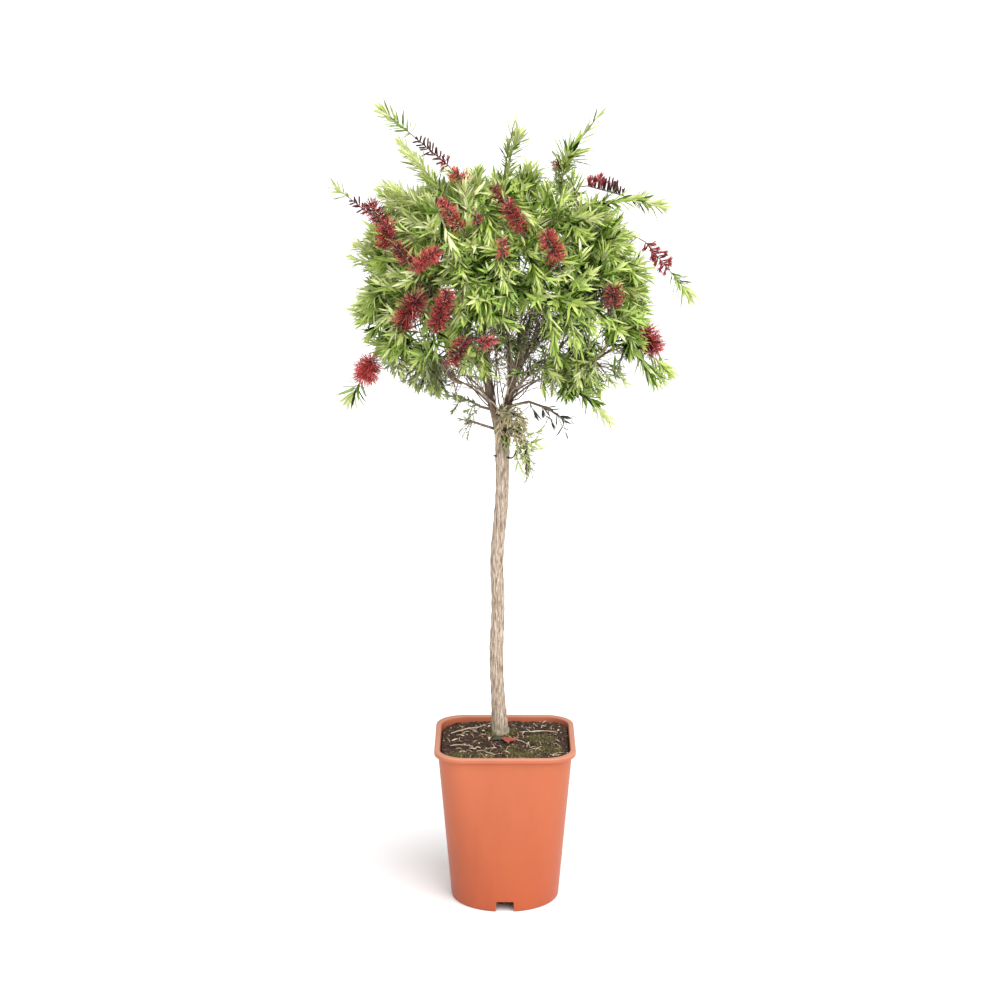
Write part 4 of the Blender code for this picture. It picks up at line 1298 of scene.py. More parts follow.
class Foliage:
    """Leaves of every tone, kept until all shoots are grown."""

    def __init__(self, wood):
        self.rows = {tone: [] for tone in LEAF_SHADES}
        self.wood = wood
        self.flowers = []

    def leaf(self, tone, root, way, face, length, width, curl):
        """One leaf, unless it would run into old wood."""
        tip = root + way * length
        if in_window(tip) and (tip.y > 0.02 or WINDOW_LEAVES[0] < tip.z < WINDOW_LEAVES[1]):
            return
        if math.hypot(tip.x, tip.y) < WOOD_REACH and tip.z < WOOD_TOP:
            if any(limb_clearance(root.lerp(tip, 0.3), tip, limb) < 0.001 for limb in self.wood):
                return
        self.rows[tone].append((*root, *way, *face, length, width, curl))

    def hidden(self, data):
        """Which leaves cross a flower, or lie right in front of one as seen from outside."""
        middles = data[:, :3] + data[:, 3:6] * data[:, 9:10] * 0.6
        found = np.zeros(len(data), bool)
        for start, end, radius in self.flowers:
            start, axis = np.array(start), np.array(end - start)
            outward = unit(np.array([[(start + axis / 2)[0], (start + axis / 2)[1], 0.03]]))[0]
            for places in (middles, data[:, :3] + data[:, 3:6] * data[:, 9:10]):
                away = places - start
                outside = away @ outward
                flat = away - outside[:, None] * outward
                line = axis - (axis @ outward) * outward
                share = np.clip(flat @ line / (line @ line), 0, 1)
                apart = np.linalg.norm(flat - share[:, None] * line, axis=1)
                found |= (apart < radius * CLEARING) & (outside > -radius) & (outside < 0.08)
        return found

    def in_gap(self, data):
        """Which leaves reach into a gap that light falls through."""
        camera = np.array(CAMERA_PLACE)
        found = np.zeros(len(data), bool)
        for share in (0.35, 0.7, 1.0):
            away = data[:, :3] + data[:, 3:6] * data[:, 9:10] * share - camera
            plane = camera + away * (-camera[1] / away[:, 1])[:, None]
            for x, z, radius in LIGHT_GAPS:
                found |= np.hypot(plane[:, 0] - x, plane[:, 2] - z) < radius
        return found

    def close(self):
        """Turns the leaves into blades, each tone apart."""
        for tone, rows in self.rows.items():
            if rows:
                data = np.array(rows)
                data = data[~(self.hidden(data) | self.in_gap(data))]
                add_blades(tone, data)


def depth_in_crown(point):
    """How far inside the crown's outline a point lies, roughly, negative outside it.

    The top is rounder and a little lower than the bottom.
    """
    top = point.z > CROWN_MIDDLE
    power = SHOULDER if top else CROWN_SQUARENESS
    out = math.hypot(point.x, point.y) / CROWN_RADIUS
    rise = abs(point.z - CROWN_MIDDLE) / (CROWN_RISE - (SHOULDER_DROP if top else 0))
    return (1 - (out**power + rise**power) ** (1 / power)) * CROWN_RADIUS - dent_at(point)


def in_window(point):
    """Whether a point lies where the stems of the fork show through."""
    left, right, top, back = WINDOW
    return left < point.x < right and point.z < top and point.y < back


def in_tangle(point):
    """Whether a point lies over the window, where fine twigs hide the boughs."""
    low, high, radius = TANGLE
    if low < point.z < high and math.hypot(point.x - 0.02, point.y) < radius:
        return True
    return any(
        all(low < part < high for low, part, high in zip(least, point, most))
        for least, most in TANGLE_BOXES
    )


def grow_tangle(foliage, bough, rng):
    """Fine dead twigs and small sprigs on a bough's stretch in the foot of the crown, their leaves
    dark as painted shade.
    """
    for step in range(TANGLE_STEPS):
        root, heading = bough.at((step + rng.random()) / TANGLE_STEPS)
        if not in_tangle(root):
            continue
        for _ in range(2):
            way = heading * 0.5 + gust(rng, 0.7)
            bare_twig(root, way.normalized(), rng.uniform(0.025, 0.050), rng)
        for _ in range(2):
            way = heading * 0.3 + gust(rng, 0.7) - UP * 0.2
            end = root + way.normalized() * rng.uniform(0.018, 0.040)
            twig = twiglet(root, end, SPRIG_RADII)
            add_tube("bare_twigs", twig, 3)
            # Dark tones: painted shade inside the foot of the crown.
            tone = rng.choice((2, 3, 4, 4, 5))
            grow_leaves(foliage, twig, 0.25, rng, size=0.46, spacing=0.0034, tone=tone)


def tone_of(point, rng):
    """The tone of a spray in painted light and shade: pale high up and outside, dark low down and
    inside.
    """
    height = (point.z - CROWN_MIDDLE) / CROWN_RISE
    left = -point.x / CROWN_RADIUS
    by_height, by_side, by_depth = TONE_LIGHT
    deep = max(depth_in_crown(point) - TONE_SKIN, 0)
    light = by_height * height + by_side * left - by_depth * deep
    place = TONE_MIDDLE - TONE_STEP * (light + rng.gauss(0, TONE_STRAY))
    return min(max(int(round(place)), 0), len(TONES) - 1)


def grow_leaves(foliage, twig, first, rng, size=1.0, spacing=LEAF_SPACING, tone=None, finish=None):
    """Leaves in a spiral along a twig from a share of it on, and a tuft at its end."""
    length = twig.length()
    number = max(int(length * (1 - first) / spacing), 4)
    turn = rng.uniform(0, 360)
    tone = tone_of(twig.line[-1], rng) if tone is None else tone
    for index in range(number):
        part = index / (number - 1)
        root, heading = twig.at(first + (1 - first) * part)
        turn += GOLDEN_ANGLE + rng.uniform(-LEAF_STRAY, LEAF_STRAY)
        out = beside(heading, turn)
        lean = LEAF_SLANT[0] + (LEAF_SLANT[1] - LEAF_SLANT[0]) * part**1.5
        slant = math.radians(lean * rng.uniform(0.75, 1.25))
        way = (heading * math.cos(slant) + out * math.sin(slant) - UP * LEAF_SAG).normalized()
        face = heading * math.sin(slant) - out * math.cos(slant)
        young = max(0.0, (part - YOUNG) / (1 - YOUNG))
        long = LEAF_LENGTH * size * rng.uniform(0.65, 1.15) * (1 - 0.40 * young)
        if part < 0.2:
            long *= 0.80
        wide = LEAF_WIDTH * rng.uniform(0.7, 1.3) * (1 - 0.25 * young) * size**0.5
        shade = tone
        # Paler towards the shoot's end: young leaves and painted light. Darker at its foot: painted
        # shade.
        if part > PALE_END[0] and rng.random() < PALE_END[1]:
            shade -= 1
        elif part < DARK_FOOT[0] and rng.random() < DARK_FOOT[1]:
            shade += rng.choice((1, 2, 2, 3))
        if rng.random() < STRAY_SHARE:
            shade += rng.choice((-2, -1, 1, 2))
        shade = min(max(shade, 0), len(TONES) - 1)
        name = finish or TONES[shade]
        if not finish and rng.random() < SAGE_SHARE:
            name = "leaf_sage"
        foliage.leaf(name, root, way, face, long, wide, rng.uniform(*LEAF_CURL))


def grow_scattered(foliage, twig, rng):
    """Small leaves, well apart, where the foliage is thin: some grey-green, some fresh."""
    left = twig.line[-1].x < 0
    finish = "leaf_sage" if rng.random() < (0.5 if left else 0.12) else None
    tone = rng.choice((0, 1, 2, 2, 3) if left else (0, 1, 1, 2, 2))
    grow_leaves(foliage, twig, 0.15, rng, 0.64 if left else 0.72, 0.0020, tone, finish)


def thin_at(point):
    """Whether a point lies where the foliage is thin, with small, scattered leaves."""
    return any((point - Vector(middle)).length < span for middle, span in THIN_PLACES)


def side_shoots(foliage, twig, rng, last, tone):
    """Leafy side shoots along a twig, in a spiral, each kept within the crown's outline."""
    length = twig.length()
    number = int(length * (last - SIDE_FIRST) / SIDE_SPACING)
    turn = rng.uniform(0, 360)
    for index in range(number):
        share = SIDE_FIRST + (last - SIDE_FIRST) * (index + rng.uniform(0.2, 0.8)) / number
        root, heading = twig.at(share)
        turn += GOLDEN_ANGLE
        out = beside(heading, turn)
        slant = math.radians(SIDE_SLANT * rng.uniform(0.8, 1.25))
        way = (heading * math.cos(slant) + out * math.sin(slant) + UP * 0.12).normalized()
        droop = droop_at(root.z)
        over = way * (1 - 0.35 * droop) - UP * 0.45 * droop
        reach = rng.uniform(*SIDE_LENGTH)
        while depth_in_crown(root + over * reach) < EDGE_DEPTH and reach > 0.018:
            reach *= 0.85
        end = root + over * reach
        if not LEAST_DEPTH < depth_in_crown(end) < INNER_DEPTH:
            continue
        if in_window(end) or in_window(root):
            if rng.random() < 0.9:
                bare_twig(root, way, reach * 0.8, rng)
                continue
        shoot = Limb(arc(root, root + way * reach * 0.5, end, 4), spread(0.0008, 0.0005, 4))
        add_tube("green_twigs", shoot, 3)
        if in_tangle(end):
            # Leaves in the tangle get dark tones: painted shade.
            if rng.random() < 0.55:
                dark = rng.choice((3, 4, 4, 5))
                grow_leaves(foliage, shoot, 0.15, rng, size=0.52, spacing=0.0032, tone=dark)
            bare_twig(shoot.line[1], over, reach * 0.7, rng)
        elif thin_at(end):
            if rng.random() < (0.90 if end.x < 0.13 else 0.50):
                grow_scattered(foliage, shoot, rng)
            bare_twig(shoot.line[1], over, reach * 0.7, rng)
        else:
            grow_leaves(foliage, shoot, 0.15, rng, tone=tone)


def bare_twig(root, way, reach, rng):
    """A fine dead twig with a few forks."""
    end = root + way * reach
    side, across = around(way)
    aside = side * rng.uniform(-1, 1) + across * rng.uniform(-1, 1)
    kink = root.lerp(end, 0.5) + aside * reach * 0.10
    twig = Limb(arc(root, kink, end, 5), spread(0.0007, 0.0003, 5))
    add_tube("bare_twigs", twig, 3)
    for _ in range(4):
        start, ahead = twig.at(rng.uniform(0.25, 0.95))
        away = (ahead + Vector([rng.uniform(-0.8, 0.8) for _ in range(3)])).normalized()
        tip = start + away * reach * rng.uniform(0.25, 0.55)
        add_tube("bare_twigs", twiglet(start, tip, FORKLET_RADII), 3)


def bare_twigs(stem, rng, number, reach):
    """Fine dead twigs in a spiral along a stem inside the crown."""
    turn = rng.uniform(0, 360)
    for _ in range(number):
        root, heading = stem.at(rng.uniform(0.15, 1))
        turn += GOLDEN_ANGLE
        out = beside(heading, turn)
        way = (heading * 0.7 + out * 0.7 + UP * 0.25).normalized()
        bare_twig(root, way, reach * rng.uniform(0.6, 1.2), rng)


# ---------------------------------------------------------------- flowers


def add_threads(kind, rows, rng):
    """Adds flat bent stamens of two spans, some with a grain of pollen, in the kind's reds.

    A row holds a stamen's root, way, length and bend.
    """
    data = np.array(rows)
    roots, ways, lengths, bends = data[:, :3], unit(data[:, 3:6]), data[:, 6:7], data[:, 7:]
    number, width = len(rows), STAMEN_WIDTH
    across = unit(np.cross(ways, unit(rng.normal(size=(number, 3)))))
    edges = []
    for share, wide in ((0.0, 0.9), (0.5, 1.0), (1.0, 0.8)):
        middle = roots + ways * lengths * share + bends * lengths * share**2
        edges += [middle - across * width / 2 * wide, middle + across * width / 2 * wide]
    strips = np.stack(edges, axis=1)
    pattern = [(0, 1, 3), (0, 3, 2), (2, 3, 5), (2, 5, 4)]
    finish = rng.choice(len(STAMENS), size=number, p=STAMEN_SHARES[kind])
    for index, name in enumerate(STAMENS):
        chosen = strips[finish == index]
        if len(chosen):
            repeat(f"stamens_{name}", chosen, pattern)
    # Grains of pollen on some tips. Their cream ones are also a painted highlight.
    dusted = rng.random(number) < DUSTED
    tips = (roots + ways * lengths + bends * lengths)[dusted]
    ways, across = ways[dusted], across[dusted]
    third = np.cross(ways, across)
    size = width * 0.90
    grain = [tips + ways * size, tips - ways * size]
    grain += [tips + across * size * 0.8, tips + third * size * 0.8]
    repeat("pollen", np.stack(grain, axis=1), [(0, 2, 3), (1, 3, 2), (0, 3, 1), (0, 1, 2)])


def add_brush(start, end, kind, radius, rng, numbers):
    """A bottlebrush: florets in a spiral round the twig, each a tuft of stamens."""
    axis = end - start
    heading = axis.normalized()
    dense = {"pink": 2.2}.get(kind, 1.6 if radius > 0.022 else 1.0)
    least = 0.72 if kind == "pink" else 0.50
    florets = max(int(axis.length * dense / FLORET_SPACING), 12)
    rows = []
    for index in range(florets):
        share = (index + rng.uniform(0.1, 0.9)) / florets
        out = beside(heading, GOLDEN_ANGLE * index + rng.uniform(-25, 25))
        seat = start.lerp(end, share) + out * CUP_SEAT
        forward = 0.10 + 0.75 * (share - 0.35) + rng.uniform(-0.2, 0.2)
        tuft = (out + heading * forward).normalized()
        full = radius * (0.72 + 0.42 * math.sin(math.pi * min(max(share, 0.12), 0.90)))
        full *= rng.uniform(0.70, 1.12)
        add_cup(seat, tuft)
        for _ in range(FLORET_STAMENS):
            way = (tuft + gust(rng, 0.36)).normalized()
            long = full * rng.uniform(least, 1.0)
            bend = heading * rng.uniform(-0.06, 0.20)
            rows.append((*(seat + tuft * TUFT_SEAT), *way, long, *bend))
    add_threads(kind, rows, numbers)


def add_cup(seat, way):
    """The small dark cup that a tuft of stamens sits in."""
    add_tube("buds", Limb([seat, seat + way * CUP_LENGTH], [CUP_RADIUS * 0.7, CUP_RADIUS]), 4)


def add_spike(start, end, kind, rng, numbers):
    """A spike of buds: slender pegs round the twig, some with their stamens pushing out."""
    axis = end - start
    heading = axis.normalized()
    pegs = int(axis.length / PEG_SPACING)
    opened = {"opening": 1.00, "upright": 0.42}.get(kind, 0.12)
    size = {"upright": 1.45, "short_spike": 0.85}.get(kind, 1.0)
    rows = []
    for index in range(pegs):
        share = (index + 0.5) / pegs
        out = beside(heading, GOLDEN_ANGLE * index + rng.uniform(-20, 20))
        way = out * 0.9 + heading * 0.5
        if kind == "upright":
            way = out * 0.65 + UP * 0.95 + heading * 0.1
        way = (way + gust(rng, 0.12)).normalized()
        seat = start.lerp(end, share)
        full = PEG_LENGTH * size * (0.70 + 0.45 * math.sin(math.pi * share))
        full *= rng.uniform(0.7, 1.15)
        line = [seat, seat + way * full * 0.45, seat + way * full * 0.85, seat + way * full]
        red = share < opened and rng.random() < 0.80
        add_tube("red_buds" if red else "buds", Limb(line, [0.0007, 0.0015, 0.0014, 0.0005]), 5)
        if red:
            tip = seat + way * full * 0.6
            for _ in range(PEG_STAMENS):
                lean = (way + gust(rng, 0.42)).normalized()
                rows.append((*tip, *lean, PEG_REACH * rng.uniform(0.6, 1.2), 0, 0, 0))
    if rows:
        add_threads("red", rows, numbers)


def add_capsules(twig, first, last, rng):
    """Old seed capsules: small woody cups packed round a twig."""
    length = twig.length() * (last - first)
    number = max(int(length / CAPSULE_SPACING), 6)
    for index in range(number):
        share = first + (last - first) * index / number
        seat, heading = twig.at(share)
        out = beside(heading, GOLDEN_ANGLE * index)
        size = rng.uniform(0.0016, 0.0022)
        start = seat + out * 0.0005
        line = [start, start + out * size * 0.9, start + out * size * 1.7, start + out * size * 1.5]
        add_tube("capsules", Limb(line, [size * 0.5, size, size * 0.75, size * 0.35]), 6)


def grow_crown(masses, foliage):
    """Stems, twigs, side shoots, leaves and flowers of every mass."""
    for index, mass in enumerate(masses):
        rng = random.Random(MASS_SEED + index)
        numbers = np.random.default_rng(MASS_SEED + index)
        stem = mass.stem or stem_of(mass)
        add_tube("stems", stem, 6, 0.06, index)
        if mass.stem:
            grow_old_wood_shoot(mass, stem, foliage, rng)
            continue
        bare_twigs(stem, rng, 6, BARE_REACH)
        bare_twigs(mass.bough, rng, 4, BARE_REACH)
        grow_tangle(foliage, mass.bough, rng)
        grow_tangle(foliage, stem, rng)
        for twig, tip in twigs_of(mass, stem):
            add_tube("twigs", twig, 5)
            grow_twig(foliage, twig, tip, rng, numbers)


def grow_twig(foliage, twig, tip, rng, numbers):
    """What a twig carries: side shoots, and its own leaves or a flower."""
    flowering = tip.ends and tip.kind not in ("spray", "leafy", "leafy_dark")
    tone = 2 if tip.long else tip.tone
    side_shoots(foliage, twig, rng, SIDE_LAST[0 if flowering else 1], tone)
    if not flowering:
        if tip.kind == "leafy_dark":
            grow_leaves(foliage, twig, 0.40, rng, size=1.50, spacing=0.0019, tone=2)
        elif tip.kind == "leafy":
            grow_leaves(foliage, twig, 0.58, rng, size=0.98, spacing=0.0026, tone=1)
        elif tip.kind == "spray" and not thin_at(tip.end):
            if tip.end.x > 0.225 and tip.end.z < 0.86:
                add_capsules(twig, 0.50, 0.72, rng)
            narrow = in_window(tip.end) or in_tangle(tip.end)
            first, size = (0.55, 0.78) if narrow else (0.40, 1.08)
            grow_leaves(foliage, twig, first, rng, size, tone=tip.tone)
        elif thin_at(tip.end):
            grow_scattered(foliage, twig.beyond(3), rng)
        # Dark tones in the tangle: painted shade.
        elif in_tangle(tip.end):
            tone = rng.choice((2, 3, 4))
            grow_leaves(foliage, twig, 0.55, rng, size=0.60, spacing=0.0032, tone=tone)
        elif not in_window(tip.end):
            grow_leaves(foliage, twig, 0.40, rng)
        return
    if tip.kind in STAMEN_SHARES:
        add_brush(*tip.ends, tip.kind, tip.radius, rng, numbers)
        foliage.flowers.append((*tip.ends, tip.radius))
    else:
        add_spike(*tip.ends, tip.kind, rng, numbers)
        foliage.flowers.append((*tip.ends, SPIKE_REACH))
    beyond = twiglet(tip.ends[1], tip.end, SHOOT_RADII)
    if tip.long:
        grow_leaves(foliage, beyond, 0.15, rng, size=1.1, spacing=0.0012, tone=1)
    else:
        grow_leaves(foliage, beyond, 0.3, rng, size=0.6, spacing=0.003, tone=2)


def grow_old_wood_shoot(mass, stem, foliage, rng):
    """A small shoot on the trunk or a limb, thinly leaved."""
    size, spacing, tone, finish = {
        "shoot_trunk_right": (0.40, 0.0040, 2, "leaf_sage"),
        "shoot_limb_right": (0.80, 0.0110, 5, "leaf_slate"),
        "shoot_trunk_left": (0.38, 0.0030, 2, "leaf_sage"),
    }.get(mass.name, (0.50, 0.0012, 3, "leaf_sage"))
    grow_leaves(foliage, stem, 0.35, rng, size, spacing, tone, finish)
    if mass.name == "shoot_trunk_right":
        add_capsules(stem, 0.72, 1.0, rng)
    for share in (0.35, 0.45, 0.55, 0.65, 0.75, 0.85, 0.95):
        root, heading = stem.at(share)
        grow_sprig(foliage, root, heading * 0.7 - UP * 0.4, rng, (size, spacing, tone, finish))


def grow_sprig(foliage, root, heading, rng, leaves, reach=(0.016, 0.030)):
    """A short leafy sprig that leaves its twig at any side."""
    out = beside(heading.normalized(), rng.uniform(0, 360))
    end = root + (heading + out * 0.6).normalized() * rng.uniform(*reach)
    twig = twiglet(root, end, SPRIG_RADII)
    add_tube("twigs", twig, 4)
    grow_leaves(foliage, twig, 0.2, rng, *leaves)


def grow_beard(foliage):
    """Short shoots that hang over the fork: straw-coloured ones in front, green ones beside."""
    rng = random.Random(BEARD_SEED)
    for _ in range(BEARD):
        place = rng.random()
        root = Vector((-0.006 + 0.006 * place, -0.004, 0.795 - 0.050 * place))
        start = root + Vector((rng.uniform(-0.009, 0.026), -0.010, rng.uniform(-0.010, 0.006)))
        reach = rng.uniform(0.012, 0.030)
        end = start + Vector((rng.uniform(-0.3, 0.9), rng.uniform(-0.5, 0.1), -0.75)) * reach
        bend = start + Vector((0.2, -0.3, 0.2)) * reach
        twig = Limb([root, start, *arc(start, bend, end, 4)[1:]], list(BEARD_RADII))
        add_tube("pale_stems" if rng.random() < 0.7 else "dark_stems", twig, 4)
        finish = "leaf_straw" if rng.random() < 0.68 else None
        tone = rng.choice((0, 1, 4, 5, 5))
        grow_leaves(foliage, twig, 0.30, rng, 0.42, 0.0032, tone, finish)
    for _ in range(BEARD_SPRIGS):
        root = Vector((rng.uniform(0.014, 0.036), -0.014, rng.uniform(0.718, 0.744)))
        reach = Vector((rng.uniform(0.1, 0.9), rng.uniform(-0.4, 0.2), rng.uniform(-1.0, -0.2)))
        grow_sprig(foliage, root, reach, rng, (0.70, 0.0026, 0, None), (0.018, 0.028))


def risen(bough):
    """A bough's line bent to leave its limb steeply, and to come over at its end."""
    root, end = bough.line[0], bough.line[-1]
    away = end - root
    flat = Vector((away.x, away.y, 0))
    bend = root + flat * 0.34 + UP * max(away.z * 0.8, 0.34 * away.length)
    return Limb(arc(root, bend, end, 14), spread(*BOUGH_RADIUS, 14))


# ---------------------------------------------------------------- trunk and boughs


def build_wood(limbs, masses):
    """Trunk and fork grown together, with the bark's relief, and the boughs on them."""
    line = spline(TRUNK_LINE, TRUNK_STATIONS)
    line = [line[0] - UP * 0.006, *line]
    radii = []
    for point, radius in zip(line, spread(*TRUNK_RADIUS, TRUNK_STATIONS + 1)):
        flare = TRUNK_FLARE * math.exp(-max(point.z - FOOT.z, 0) / FLARE_HEIGHT)
        swell = TRUNK_SWELL * math.exp(-(((point.z - SWELL_PLACE) / 0.030) ** 2))
        radii.append(radius + flare + swell)
    add_tube("wood", Limb(line, radii), 40, 0.035)
    for name in LIMB_LINES:
        add_tube("wood", Limb(spline(LIMB_LINES[name], 24), spread(*LIMB_RADIUS, 24)), 28, 0.05)
    add_tube("wood", Limb(from_mm(CROTCH), spread(*CROTCH_RADIUS, len(CROTCH))), 24)
    wood = HEAPS.pop("wood")
    mesh = bpy.data.meshes.new("trunk_and_fork")
    faces = np.concatenate(wood.faces).tolist()
    mesh.from_pydata(np.concatenate(wood.points).tolist(), [], faces)
    made = bpy.data.objects.new("trunk_and_fork", mesh)
    bpy.context.scene.collection.objects.link(made)
    hold(made)
    remesh = made.modifiers.new("grown_together", "REMESH")
    remesh.mode = "VOXEL"
    remesh.voxel_size = VOXEL
    bpy.ops.object.modifier_apply(modifier=remesh.name)
    soften = made.modifiers.new("soften", "SMOOTH")
    soften.factor = 0.5
    soften.iterations = 4
    bpy.ops.object.modifier_apply(modifier=soften.name)
    relief(made.data)
    made.data.shade_smooth()
    made.data.materials.append(FINISHES["bark"])
    belongs(made, WOOD_NODES)
    for index, mass in enumerate(masses):
        if mass.bough:
            mass.bough = risen(mass.bough)
            add_tube("boughs", mass.bough, 10, 0.08, index)
    grow_risers(limbs)
    grow_fork_stems()


def grow_risers(limbs):
    """Thin stems that fan upwards from the fork into the crown, with bare twigs at their tops."""
    rng = random.Random(RISER_SEED)
    for name, sway in (("limb_left", -1), ("limb_right", 1)):
        limb = limbs[name]
        for index in range(RISERS):
            root, heading = limb.at(spread(*RISER_SHARES, RISERS)[index])
            fan = sway * rng.uniform(-0.45, 0.80)
            way = (heading + Vector((fan, rng.uniform(-0.8, 0.5), 0.2))).normalized()
            reach = rng.uniform(0.10, 0.17)
            end = root + way * reach * 0.7 + UP * reach * 0.35
            radius = rng.uniform(0.0008, 0.0013)
            line = arc(root, root + way * reach * 0.5, end, 9)
            riser = Limb(line, spread(radius, radius * 0.45, 9))
            add_tube(RISER_KINDS[index % len(RISER_KINDS)], riser, 7, 0.06, index)
            bare_twigs(riser.beyond(4), rng, 3, BARE_REACH)


def grow_fork_stems():
    """The thin stems in the window, and two dark stubs of old shoots on the trunk."""
    rng = random.Random(FORK_SEED)
    for points, shade in FORK_STEMS:
        radius = rng.uniform(0.0011, 0.0015)
        stem = Limb(spline(from_mm(points), 13), spread(radius, 0.0006, 13))
        add_tube(f"{shade}_stems", stem, 6, 0.06)
        if stem.line[-1].z > LIMB_TOP:
            bare_twigs(stem.beyond(8), rng, 5, FORK_REACH)
    for points in STUBS:
        add_tube("stubs", Limb(spline(from_mm(points), 7), spread(*STUB_RADIUS, 7)), 7, 0.06)


def relief(mesh):
    """Strings of bark along the wood: ridges where two slow patterns cross, and a few knots."""
    count = len(mesh.vertices)
    normals = np.zeros(count * 3)
    mesh.vertices.foreach_get("normal", normals)
    places = np.zeros(count * 3)
    mesh.vertices.foreach_get("co", places)
    normals, places = normals.reshape(-1, 3), places.reshape(-1, 3)
    for index, (x, y, z) in enumerate(places.tolist()):
        thick = 1.0 if z < FORK_RELIEF[0] else FORK_RELIEF[1]
        coarse = noise.noise(Vector((x * STRINGS[0], y * STRINGS[0], z * STRINGS[1])))
        fine = noise.noise(Vector((x * FIBRES[0], y * FIBRES[0], z * FIBRES[1] + 9)))
        ridge = STRING_DEPTH * (0.5 - abs(coarse)) * 2 + FIBRE_DEPTH * fine
        swell = SWELL_DEPTH * noise.noise(Vector((3.1, 7.7, z * SWELLS)))
        places[index] += normals[index] * (thick * (ridge - RELIEF_SINK) + swell * thick)
    mesh.vertices.foreach_set("co", places.reshape(-1))
    mesh.update()


# ---------------------------------------------------------------- pot


def pick(test, kind="VERT"):
    """Selects the corners or edges of the mesh in edit mode whose every corner passes."""
    mesh = bmesh.from_edit_mesh(bpy.context.edit_object.data)
    bpy.ops.mesh.select_mode(type=kind)
    bpy.ops.mesh.select_all(action="DESELECT")
    chosen = mesh.verts if kind == "VERT" else mesh.edges
    for part in chosen:
        corners = [part] if kind == "VERT" else part.verts
        part.select_set(all(test(corner.co) for corner in corners))
    bmesh.update_edit_mesh(bpy.context.edit_object.data)


def take_all():
    """Selects all of the mesh in edit mode."""
    bpy.ops.mesh.select_all(action="SELECT")


def work_on(mode):
    """Goes into edit mode or back to object mode."""
    bpy.ops.object.mode_set(mode=mode)


def level(height):
    """A test for corners at a height."""
    return lambda corner: abs(corner.z - height) < 1e-5


def pull(move=(0, 0, 0), grow=None):
    """Extrudes what is selected, then moves it and scales it about the pot's axis."""
    bpy.ops.mesh.extrude_region_move(TRANSFORM_OT_translate={"value": move})
    if grow:
        bpy.ops.transform.resize(value=(grow, grow, 1), center_override=(0, 0, 0))


def build_pot():
    """A thin-walled square-to-round pot with a rolled rim and four drains."""
    bpy.ops.object.select_all(action="DESELECT")
    half = RIM_WIDTH / 2
    wall_top = POT_HEIGHT - RIM_DEPTH
    wall_half = half - RIM_STEP
    bpy.ops.mesh.primitive_plane_add(size=2 * BASE_RADIUS)
    pot = bpy.context.active_object
    pot.name = "moulded_pot"
    work_on("EDIT")
    take_all()
    bpy.ops.mesh.bevel(offset=BASE_RADIUS - BASE_FLAT, segments=14, affect="VERTICES")
    bpy.ops.mesh.primitive_plane_add(size=2 * wall_half, location=(0, 0, wall_top))
    bpy.ops.mesh.bevel(offset=RIM_CORNER - RIM_STEP / 2, segments=14, affect="VERTICES")
    take_all()
    bpy.ops.mesh.delete(type="ONLY_FACE")
    take_all()
    bpy.ops.mesh.bridge_edge_loops(number_cuts=14, interpolation="LINEAR")
    # The base: closed, with its edge rounded.
    pick(level(0), "EDGE")
    bpy.ops.mesh.edge_face_add()
    bpy.ops.mesh.bevel(offset=0.002, segments=3, affect="EDGES")
    # The rim: out, up, in over the top, and down the inside to below the compost.
    pick(level(wall_top), "EDGE")
    pull(grow=half / wall_half)
    pull(move=(0, 0, RIM_DEPTH))
    pull(grow=(wall_half - WALL) / half)
    pull(move=(0, 0, -0.030), grow=0.985)
    bpy.ops.mesh.edge_face_add()
    sharp = (POT_HEIGHT, wall_top)
    pick(lambda corner: min(abs(corner.z - height) for height in sharp) < 1e-5, "EDGE")
    bpy.ops.mesh.bevel(offset=0.0018, segments=4, affect="EDGES", clamp_overlap=True)
    take_all()
    bpy.ops.mesh.remove_doubles(threshold=0.00001)
    bpy.ops.mesh.normals_make_consistent(inside=False)
    work_on("OBJECT")
    for quarter in range(4):
        cut_drain(pot, quarter)
    hold(pot)
    bpy.ops.object.shade_smooth_by_angle(angle=math.radians(38))
    # Marks the inside of the wall below the rim for its dark brown: soil stain and painted shade.
    soiled = pot.data.attributes.new("soiled", "FLOAT", "POINT")
    for corner, mark in zip(pot.data.vertices, soiled.data):
        inward = -(corner.normal.x * corner.co.x + corner.normal.y * corner.co.y)
        mark.value = float(inward > 0.05 and corner.co.z < POT_HEIGHT - 0.002)
    pot.data.materials.clear()
    pot.data.materials.append(FINISHES["pot"])
    belongs(pot, ["pot"])


def cut_drain(pot, quarter):
    """Cuts one drain: a notch with sloping sides that runs in under the floor."""
    bpy.ops.object.select_all(action="DESELECT")
    length = BASE_RADIUS + 0.01 - DRAIN_END
    height = DRAIN_HEIGHT + 0.004
    bpy.ops.mesh.primitive_cube_add(size=1, location=(0, 0, 0))
    cutter = bpy.context.active_object
    work_on("EDIT")
    take_all()
    bpy.ops.transform.resize(value=(length, DRAIN_FOOT, height))
    pick(lambda corner: corner.z > 0)
    bpy.ops.transform.resize(value=(1, DRAIN_HEAD / DRAIN_FOOT, 1), center_override=(0, 0, 0))
    take_all()
    middle = (DRAIN_END + length / 2, 0, DRAIN_HEIGHT - height / 2)
    bpy.ops.transform.translate(value=middle)
    work_on("OBJECT")
    cutter.data.transform(Matrix.Rotation(math.radians(90 * quarter), 4, "Z"))
    notch = pot.modifiers.new("drain", "BOOLEAN")
    notch.operation = "DIFFERENCE"
    notch.object = cutter
    hold(pot)
    bpy.ops.object.modifier_apply(modifier=notch.name)
    bpy.data.objects.remove(cutter, do_unlink=True)


# ---------------------------------------------------------------- compost and litter


def inside_pot(x, y, margin):
    """Whether a point lies this far within the pot's wall at the compost's level."""
    half = SOIL_HALF - margin
    corner = SOIL_CORNER - margin
    over_x, over_y = abs(x) - (half - corner), abs(y) - (half - corner)
    if over_x > 0 and over_y > 0:
        return math.hypot(over_x, over_y) < corner
    return max(abs(x), abs(y)) < half


